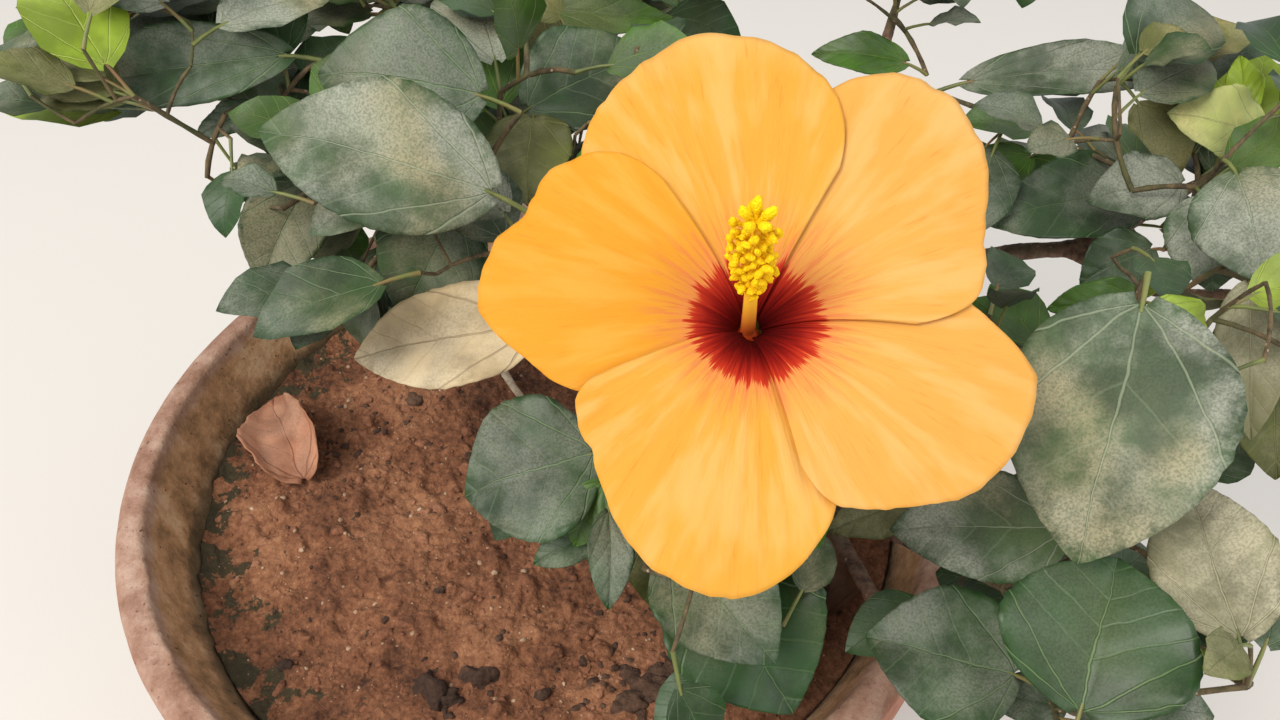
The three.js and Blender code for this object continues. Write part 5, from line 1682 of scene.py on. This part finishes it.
# Each petal's edge as (angle, radius) round the throat, anticlockwise, 0 pointing to +X
PETALS = {
    "top": [
        (59, 46), (61, 52), (64, 59), (69, 67), (73, 72), (79, 77), (85, 80), (91, 82), (96, 84),
        (101, 86), (106, 84), (113, 80), (121, 76), (130, 71), (138, 65), (146, 53),
    ],
    "upper_right": [
        (-8, 42), (-5, 49), (0, 57), (4, 60), (14, 63), (23, 69), (32, 77), (40, 82), (48, 85),
        (54, 84), (60, 81), (66, 76), (71, 69), (77, 61), (84, 52),
    ],
    "lower_right": [
        (-78, 45), (-76, 51), (-72, 57), (-66, 60), (-58, 64), (-50, 69), (-42, 74), (-31, 76),
        (-21, 76), (-13, 74), (-7, 66), (-1, 58), (8, 50),
    ],
    "bottom": [
        (-155, 49), (-152, 55), (-145, 58), (-138, 60), (-130, 64), (-120, 71), (-112, 75),
        (-104, 77), (-95, 77), (-88, 73), (-81, 67), (-76, 62), (-71, 56), (-62, 47),
    ],
    "left": [
        (125, 44), (128, 54), (134, 62), (140, 66), (147, 69), (154, 69), (159, 69), (165, 73),
        (173, 75), (181, 75), (187, 70), (193, 64), (200, 59), (206, 54), (211, 48),
    ],
}


def on_petal(degrees, radius, across):
    """Points of a petal at angles and radii. across is 0 at its leading edge and 1 at the other."""
    angle = np.radians(degrees)
    slope = np.arctan(FUNNEL_DEPTH / FUNNEL_RADIUS * np.exp(-radius / FUNNEL_RADIUS))
    tilt = (0.6 + 0.4 * np.minimum(1, radius / 25)) * PETAL_TILT * (1 - 2 * across)
    far = radius / BLOOM_RADIUS
    ruffle = RUFFLE * far**3 * np.sin(angle * 9 + np.sin(angle * 4))
    ruffle += FRILL * far**4 * np.sin(angle * 27 + 2 * np.sin(angle * 6))
    ruffle += VEIN_RISE * far * np.sin(angle * 61)
    lift = tilt + ruffle
    flat = radius - lift * np.sin(slope)
    out = funnel(radius) - PETAL_DROOP * far**4 + lift * np.cos(slope)
    return on_bloom(flat * np.cos(angle), flat * np.sin(angle), out)


def petal(outline):
    """One petal, thick, with its angle and radius kept as UV."""
    bpy.ops.object.select_all(action="DESELECT")
    bpy.ops.mesh.primitive_grid_add(x_subdivisions=PETAL_COLUMNS, y_subdivisions=PETAL_ROWS, size=1)
    piece = bpy.context.object
    grid = np.array([vertex.co for vertex in piece.data.vertices]) + 0.5
    across, row = grid[:, 0], grid[:, 1] ** ROWS_CLOSER
    angles, radii = np.array(outline, float).T
    shares = np.linspace(0, 1, PETAL_COLUMNS + 1)
    rim = np.interp(angles[0] + shares * (angles[-1] - angles[0]), angles, radii)
    rim[1:-1] = (rim[:-2] + 2 * rim[1:-1] + rim[2:]) / 4
    wander = np.array([noise.noise(Vector((place * 1.9, angles[0], 3))) for place in range(len(rim))])
    wander[1:-1] = (wander[:-2] + 2 * wander[1:-1] + wander[2:]) / 4
    rim += SCALLOP * wander * np.minimum(1, 6 * np.minimum(shares, 1 - shares))
    degrees = angles[0] + across * (angles[-1] - angles[0])
    radius = PETAL_ROOT + (np.interp(across, shares, rim) - PETAL_ROOT) * row
    piece.data.vertices.foreach_set("co", (on_petal(degrees, radius, across) * MM).ravel())
    corners = [corner.vertex_index for corner in piece.data.loops]
    places = np.column_stack([degrees / POLAR[0] + 0.5, radius / POLAR[1]])[corners]
    piece.data.uv_layers.active.data.foreach_set("uv", places.ravel())
    shape_with(piece, "SOLIDIFY", thickness=PETAL_THICKNESS * MM, offset=0, use_even_offset=False)
    return piece


# %% [markdown]
# The eye of the bloom is dark red and runs out along the veins in fine streaks, with an orange halo
# round it and pink rays beyond that. The streaks are a noise that is squeezed along the angle and
# stretched along the radius, added to the radius before the line of colours is read. The eye also
# reaches a little further down the bloom than up.

# %% Finish of the petals
EYE_SINK = 0.024
EYE_TONES = [
    (0.0, paint(70, 5, 5)), (0.08, paint(92, 8, 7)),
    (0.125, paint(136, 20, 12)), (0.176, paint(188, 50, 26)),
]
HALO = paint(220, 138, 72)
RAY = paint(208, 108, 66)
DEEP_SPOT = paint(214, 136, 40)
VEIN_LINE = paint(208, 122, 40)


def petal_finish(name, body, rim):
    silk = Finish(name, 0.6, Specular_IOR_Level=0.12)
    silk.set("Subsurface Weight", 0.1)
    silk.set("Subsurface Radius", (1.0, 0.5, 0.2))
    silk.set("Subsurface Scale", 0.003)
    uv = silk.place("UV")
    angle, radius = silk.axis(uv, 0), silk.axis(uv, 1)

    def streaks(across, outward, detail, roughness):
        """A noise that is fine round the throat and drawn out away from it."""
        inputs = {0: silk.times(angle, across), 1: silk.times(radius, outward)}
        return silk.noise(silk.add("ShaderNodeCombineXYZ", inputs), 1, detail, roughness)

    spikes, creases, veins = streaks(96, 4, 3, 0.7), streaks(46, 3, 3, 0.5), streaks(330, 7, 2, 0.6)
    sunk = silk.maths("SINE", silk.times(angle, 2 * math.pi))
    feather = silk.scaled(sunk, -EYE_SINK, radius)
    feather = silk.scaled(silk.minus(spikes, 0.5), 0.15, feather)
    feather = silk.scaled(silk.minus(veins, 0.5), 0.07, feather)
    warm = [mix(first, second, 0.65) for first, second in zip(HALO, body)]
    spread = [(0.19, HALO), (0.23, warm), (0.3, body), (0.72, body), (0.95, rim)]
    colour = silk.line(feather, *EYE_TONES, *spread)
    rays = silk.times(silk.rise(spikes, 0.52, 0.42), silk.rise(radius, 0.36, 0.22))
    rays = silk.times(rays, silk.rise(feather, 0.18, 0.2))
    colour = silk.mix(silk.times(rays, 0.5), colour, RAY)
    deeper = silk.rise(silk.noise(silk.place(), 17, 3), 0.5, 0.66)
    deeper = silk.times(deeper, silk.rise(radius, 0.3, 0.5))
    colour = silk.mix(silk.times(deeper, 0.4), colour, DEEP_SPOT)
    # The ridges of the creases are painted in the paler rim colour: a painted highlight along them.
    crease_highlight = silk.times(silk.rise(creases, 0.44, 0.66), silk.rise(radius, 0.22, 0.36))
    colour = silk.mix(silk.times(crease_highlight, 0.6), colour, rim)
    lines = silk.times(silk.rise(veins, 0.58, 0.72), silk.rise(creases, 0.56, 0.46))
    lines = silk.times(lines, silk.rise(radius, 0.24, 0.5))
    colour = silk.mix(silk.times(lines, 0.4), colour, VEIN_LINE)
    silk.set("Base Color", colour)
    silk.set("Normal", silk.bump(veins, 0.12, silk.bump(creases, 1.2)))
    return silk.material


golden = petal_finish("golden_petal", paint(216, 152, 56), paint(222, 172, 100))
bright = petal_finish("bright_petal", paint(216, 145, 40), paint(221, 160, 66))
peach = petal_finish("peach_petal", paint(217, 155, 72), paint(224, 172, 104))
PETAL_FINISHES = {
    "top": golden, "upper_right": peach, "lower_right": peach, "bottom": golden, "left": bright,
}
for name, outline in PETALS.items():
    keep(petal(outline), f"silk_petal_{name}", "petal", [PETAL_FINISHES[name]], f"petal_{name}")

# %% [markdown]
# ## Column, anthers and stigma
# Out of the throat stands one column, and from its upper half over a hundred thin filaments carry the
# anthers, with five velvety pads at the very tip. The column is a tapering tube. An anther is a dented
# ball, flattened and copied on a spiral, which spreads them evenly.

# %% Column
COLUMN_LENGTH = 60
COLUMN_BEND = 10
COLUMN_LEAN = -4
ANTHER_ZONE = (0.55, 0.97)
ANTHERS = 110
FILAMENT = 5.4
FILAMENT_RADII = np.array([0.42, 0.34, 0.3])
ANTHER_SIZE = [1.6, 1.0, 0.95]
STIGMAS = 5
STYLE_RADII = np.array([0.9, 0.8, 0.8])
PAD_SIZE = [1.35, 1.35, 2.7]
COLUMN_SINK = 1.6


def on_column(share):
    """The middle of the column at a share of its length."""
    out = -COLUMN_SINK + (COLUMN_LENGTH + COLUMN_SINK) * share
    return on_bloom(COLUMN_LEAN * share, COLUMN_BEND * share * share, out)


shares = np.linspace(0, 1, 24)
column = tubes([(on_column(shares), np.interp(shares, [0, 0.08, 1], [4.0, 2.2, 1.4]))], 4)
runs, anthers, pads = [], [], []
ball = dented_ball(2, 0.35)
velvet = dented_ball(3, 0.2)
velvet[0][:] *= 1 + 0.1 * np.prod(np.sin(velvet[0] * (23, 19, 21)), axis=1, keepdims=True)
random_bloom = np.random.default_rng(8)
for i in range(ANTHERS):
    reach = FILAMENT * random_bloom.uniform(0.6, 1.15) * min(1, 0.6 + i / ANTHERS)
    root = on_column(mix(*ANTHER_ZONE, i / (ANTHERS - 1)))
    end = root + sideways(i * LEAF_TURN) * reach + BLOOM_OUT * random_bloom.uniform(0.5, 4)
    runs.append((np.array([root, (root + end) / 2 + BLOOM_OUT * 0.8, end]), FILAMENT_RADII))
    shape = ball[0] * ANTHER_SIZE * random_bloom.uniform(0.8, 1.15)
    anthers.append(shape @ turned(1, random_bloom)[0].T + end)
root = on_column(0.98)
for i in range(STIGMAS):
    out = sideways(i * 2 * math.pi / STIGMAS + 0.3)
    end = root + out * 3.0 + BLOOM_OUT * 4.5
    runs.append((np.array([root, root + out * 1.2 + BLOOM_OUT * 2, end]), STYLE_RADII))
    along = unit(out * 0.55 + BLOOM_OUT)
    side = unit(np.cross(along, BLOOM_RIGHT + UP * 0.3))
    pads.append(velvet[0] * PAD_SIZE @ np.array([side, np.cross(along, side), along]) + end)
filaments = tubes(runs, 2)
anther_piece = write_copies(np.array(anthers), ball[1])
pad_piece = write_copies(np.array(pads), velvet[1])

# %% Finishes of the column
COLUMN_TONES = [(0.0, paint(228, 80, 30)), (0.4, paint(252, 152, 50)), (1.0, paint(254, 204, 56))]
COLOURED = (0.08, 0.5)


def pollen_finish(name, low, high, depth):
    pollen = Finish(name, 0.75, Specular_IOR_Level=0.2)
    specks = pollen.cells(pollen.place(), 1800)
    pollen.set("Base Color", pollen.line(specks, (0.1, high), (0.6, low)))
    pollen.set("Normal", pollen.bump(specks, depth))
    return pollen.material


def column_finish():
    flesh = Finish("column_flesh", 0.5)
    low, high = (on_column(share)[2] * MM for share in COLOURED)
    risen = flesh.rise(flesh.axis(flesh.place(), 2), low, high)
    flesh.set("Base Color", flesh.line(risen, *COLUMN_TONES))
    return flesh.material


pollen = pollen_finish("pollen", paint(240, 190, 6), paint(252, 222, 10), 0.25)
velvet_pad = pollen_finish("velvet_pad", paint(244, 204, 8), paint(253, 230, 20), 0.3)
keep(column, "staminal_column", "pollen", [column_finish()], "bloom_column")
keep(filaments, "filaments", "pollen", [pollen])
keep(anther_piece, "anthers", "pollen", [pollen])
keep(pad_piece, "stigma_pads", "pollen", [velvet_pad])

# %% [markdown]
# ## Calyx and stalk
# Behind the petals sits a green cup with five points, the calyx, with a ring of slender bracts below
# it, on a long stalk with one swollen joint. The cup is turned like the pot and its lip drawn out into
# points; bracts and stalk are tubes.

# %% Calyx, bracts and stalk
CUP_LIP = 4.6
CUP_STEPS = 60
CUP_POINTS = 5
CUP_SPREAD = 0.07
BRACTS = 7
BRACT_RADII = np.array([1.0, 1.1, 1.1, 1, 0.8, 0.5, 0.15])
JOINT_AT = 0.55
JOINT_WIDTH = 0.04
JOINT_SWELL = 0.35
cup_profile = [(0, -CALYX_LENGTH - 1), (2.6, -CALYX_LENGTH - 0.4), (3.8, -CALYX_LENGTH + 1)]
cup_profile += [(6.0, -17), (8.2, -10), (10, -4), (11.6, 1), (13.0, 4)]
cup_profile += [(12.5, 4.3), (10.8, 1.2), (8.4, -1.8), (6.4, -3.2), (0, -3.2)]
calyx = turn(cup_profile, CUP_STEPS)
for vertex in calyx.data.vertices:
    x, y, z = vertex.co / MM
    lip = max(0, (z + 10) / 14)
    point_share = math.cos(CUP_POINTS * math.atan2(y, x)) * lip
    x, y = x * (1 + CUP_SPREAD * point_share), y * (1 + CUP_SPREAD * point_share)
    z += CUP_LIP * point_share * 0.5
    vertex.co = Vector(on_bloom(x, y, z)) * MM
shape_with(calyx, "SUBSURF", levels=1, render_levels=1)
points, sizes = tube_run(stalk_line, (2.2, 2.0), 3)
joint = 1 + JOINT_SWELL * np.exp(-((np.linspace(0, 1, len(points)) - JOINT_AT) / JOINT_WIDTH) ** 2)
runs = [(np.vstack([points[:1] - bloom_way * 2, points]), np.append(2.2, sizes * joint))]
for i in range(BRACTS):
    out = sideways(i * 2 * math.pi / BRACTS)
    root = on_bloom(0, 0, -CALYX_LENGTH + 0.5) + out * 2.4
    line = bent_line(root, root + out * 5 + BLOOM_OUT, root + out * 9 + BLOOM_OUT * 10)
    shares = np.linspace(0, 1, len(BRACT_RADII))
    runs.append((line.rule(shares), BRACT_RADII))
stalk_and_bracts = tubes(runs, 3)


def calyx_finish():
    green = Finish("calyx_green", 0.55)
    place = green.place()
    ribs = green.noise(place, 160, 4)
    green.set("Base Color", green.line(ribs, (0.35, paint(84, 112, 44)), (0.65, paint(132, 156, 74))))
    green.set("Normal", green.bump(ribs, 0.4))
    return green.material


calyx_green = calyx_finish()
keep(calyx, "calyx", "calyx", [calyx_green], "bloom_stalk")
keep(stalk_and_bracts, "stalk_and_bracts", "calyx", [calyx_green], "bloom_stalk")

# %% [markdown]
# ## Floor, light and camera
# The shrub is looked down on at 45 degrees from just in front of it. It stands on a plain pale floor in
# soft light: one large lamp high on the left, a weaker one on the right and a pale sky.

# %% Floor
bpy.ops.object.select_all(action="DESELECT")
bpy.ops.mesh.primitive_plane_add(size=8, location=(0, 0, 0))
floor = bpy.context.object
floor.name = "floor"
plain = Finish("pale_floor", 0.9)
plain.set("Base Color", paint(222, 216, 208))
floor.data.materials.append(plain.material)

# %% Light and camera


def lamp(name, place, aim, size, power, colour):
    bpy.ops.object.light_add(type="AREA", location=place)
    light = bpy.context.object
    light.name = name
    light.data.size = size
    light.data.energy = power
    light.data.color = colour
    light.rotation_euler = (Vector(aim) - Vector(place)).to_track_quat("-Z", "Y").to_euler()


POT_TOP = (0, 0, POT_HEIGHT * MM)
lamp("window", (-1.1, -1.0, 2.1), POT_TOP, 1.1, 46, (1, 0.97, 0.92))
lamp("fill", (1.5, -0.6, 1.3), POT_TOP, 1.6, 12, (0.94, 0.97, 1))
world = bpy.data.worlds.new("sky")
world.use_nodes = True
world.node_tree.nodes["Background"].inputs["Color"].default_value = (0.95, 0.97, 1, 1)
world.node_tree.nodes["Background"].inputs["Strength"].default_value = 0.75
bpy.context.scene.world = world
bpy.context.scene.view_settings.view_transform = "Standard"

CAMERA_PLACE = (40.4, -280, 616)
CAMERA_TILT = math.radians(45)
LENS = 28.125
bpy.ops.object.camera_add(location=Vector(CAMERA_PLACE) * MM, rotation=(CAMERA_TILT, 0, 0))
camera = bpy.context.object
camera.data.sensor_width = 36
camera.data.lens = LENS
bpy.context.scene.camera = camera

# %% [markdown]
# ## The last measure
# The frame's box, measured before the plant was dressed, is printed in millimetres.

# %% Measure and finish
print("frame:", [[round(value / MM) for value in corner] for corner in frame_box])
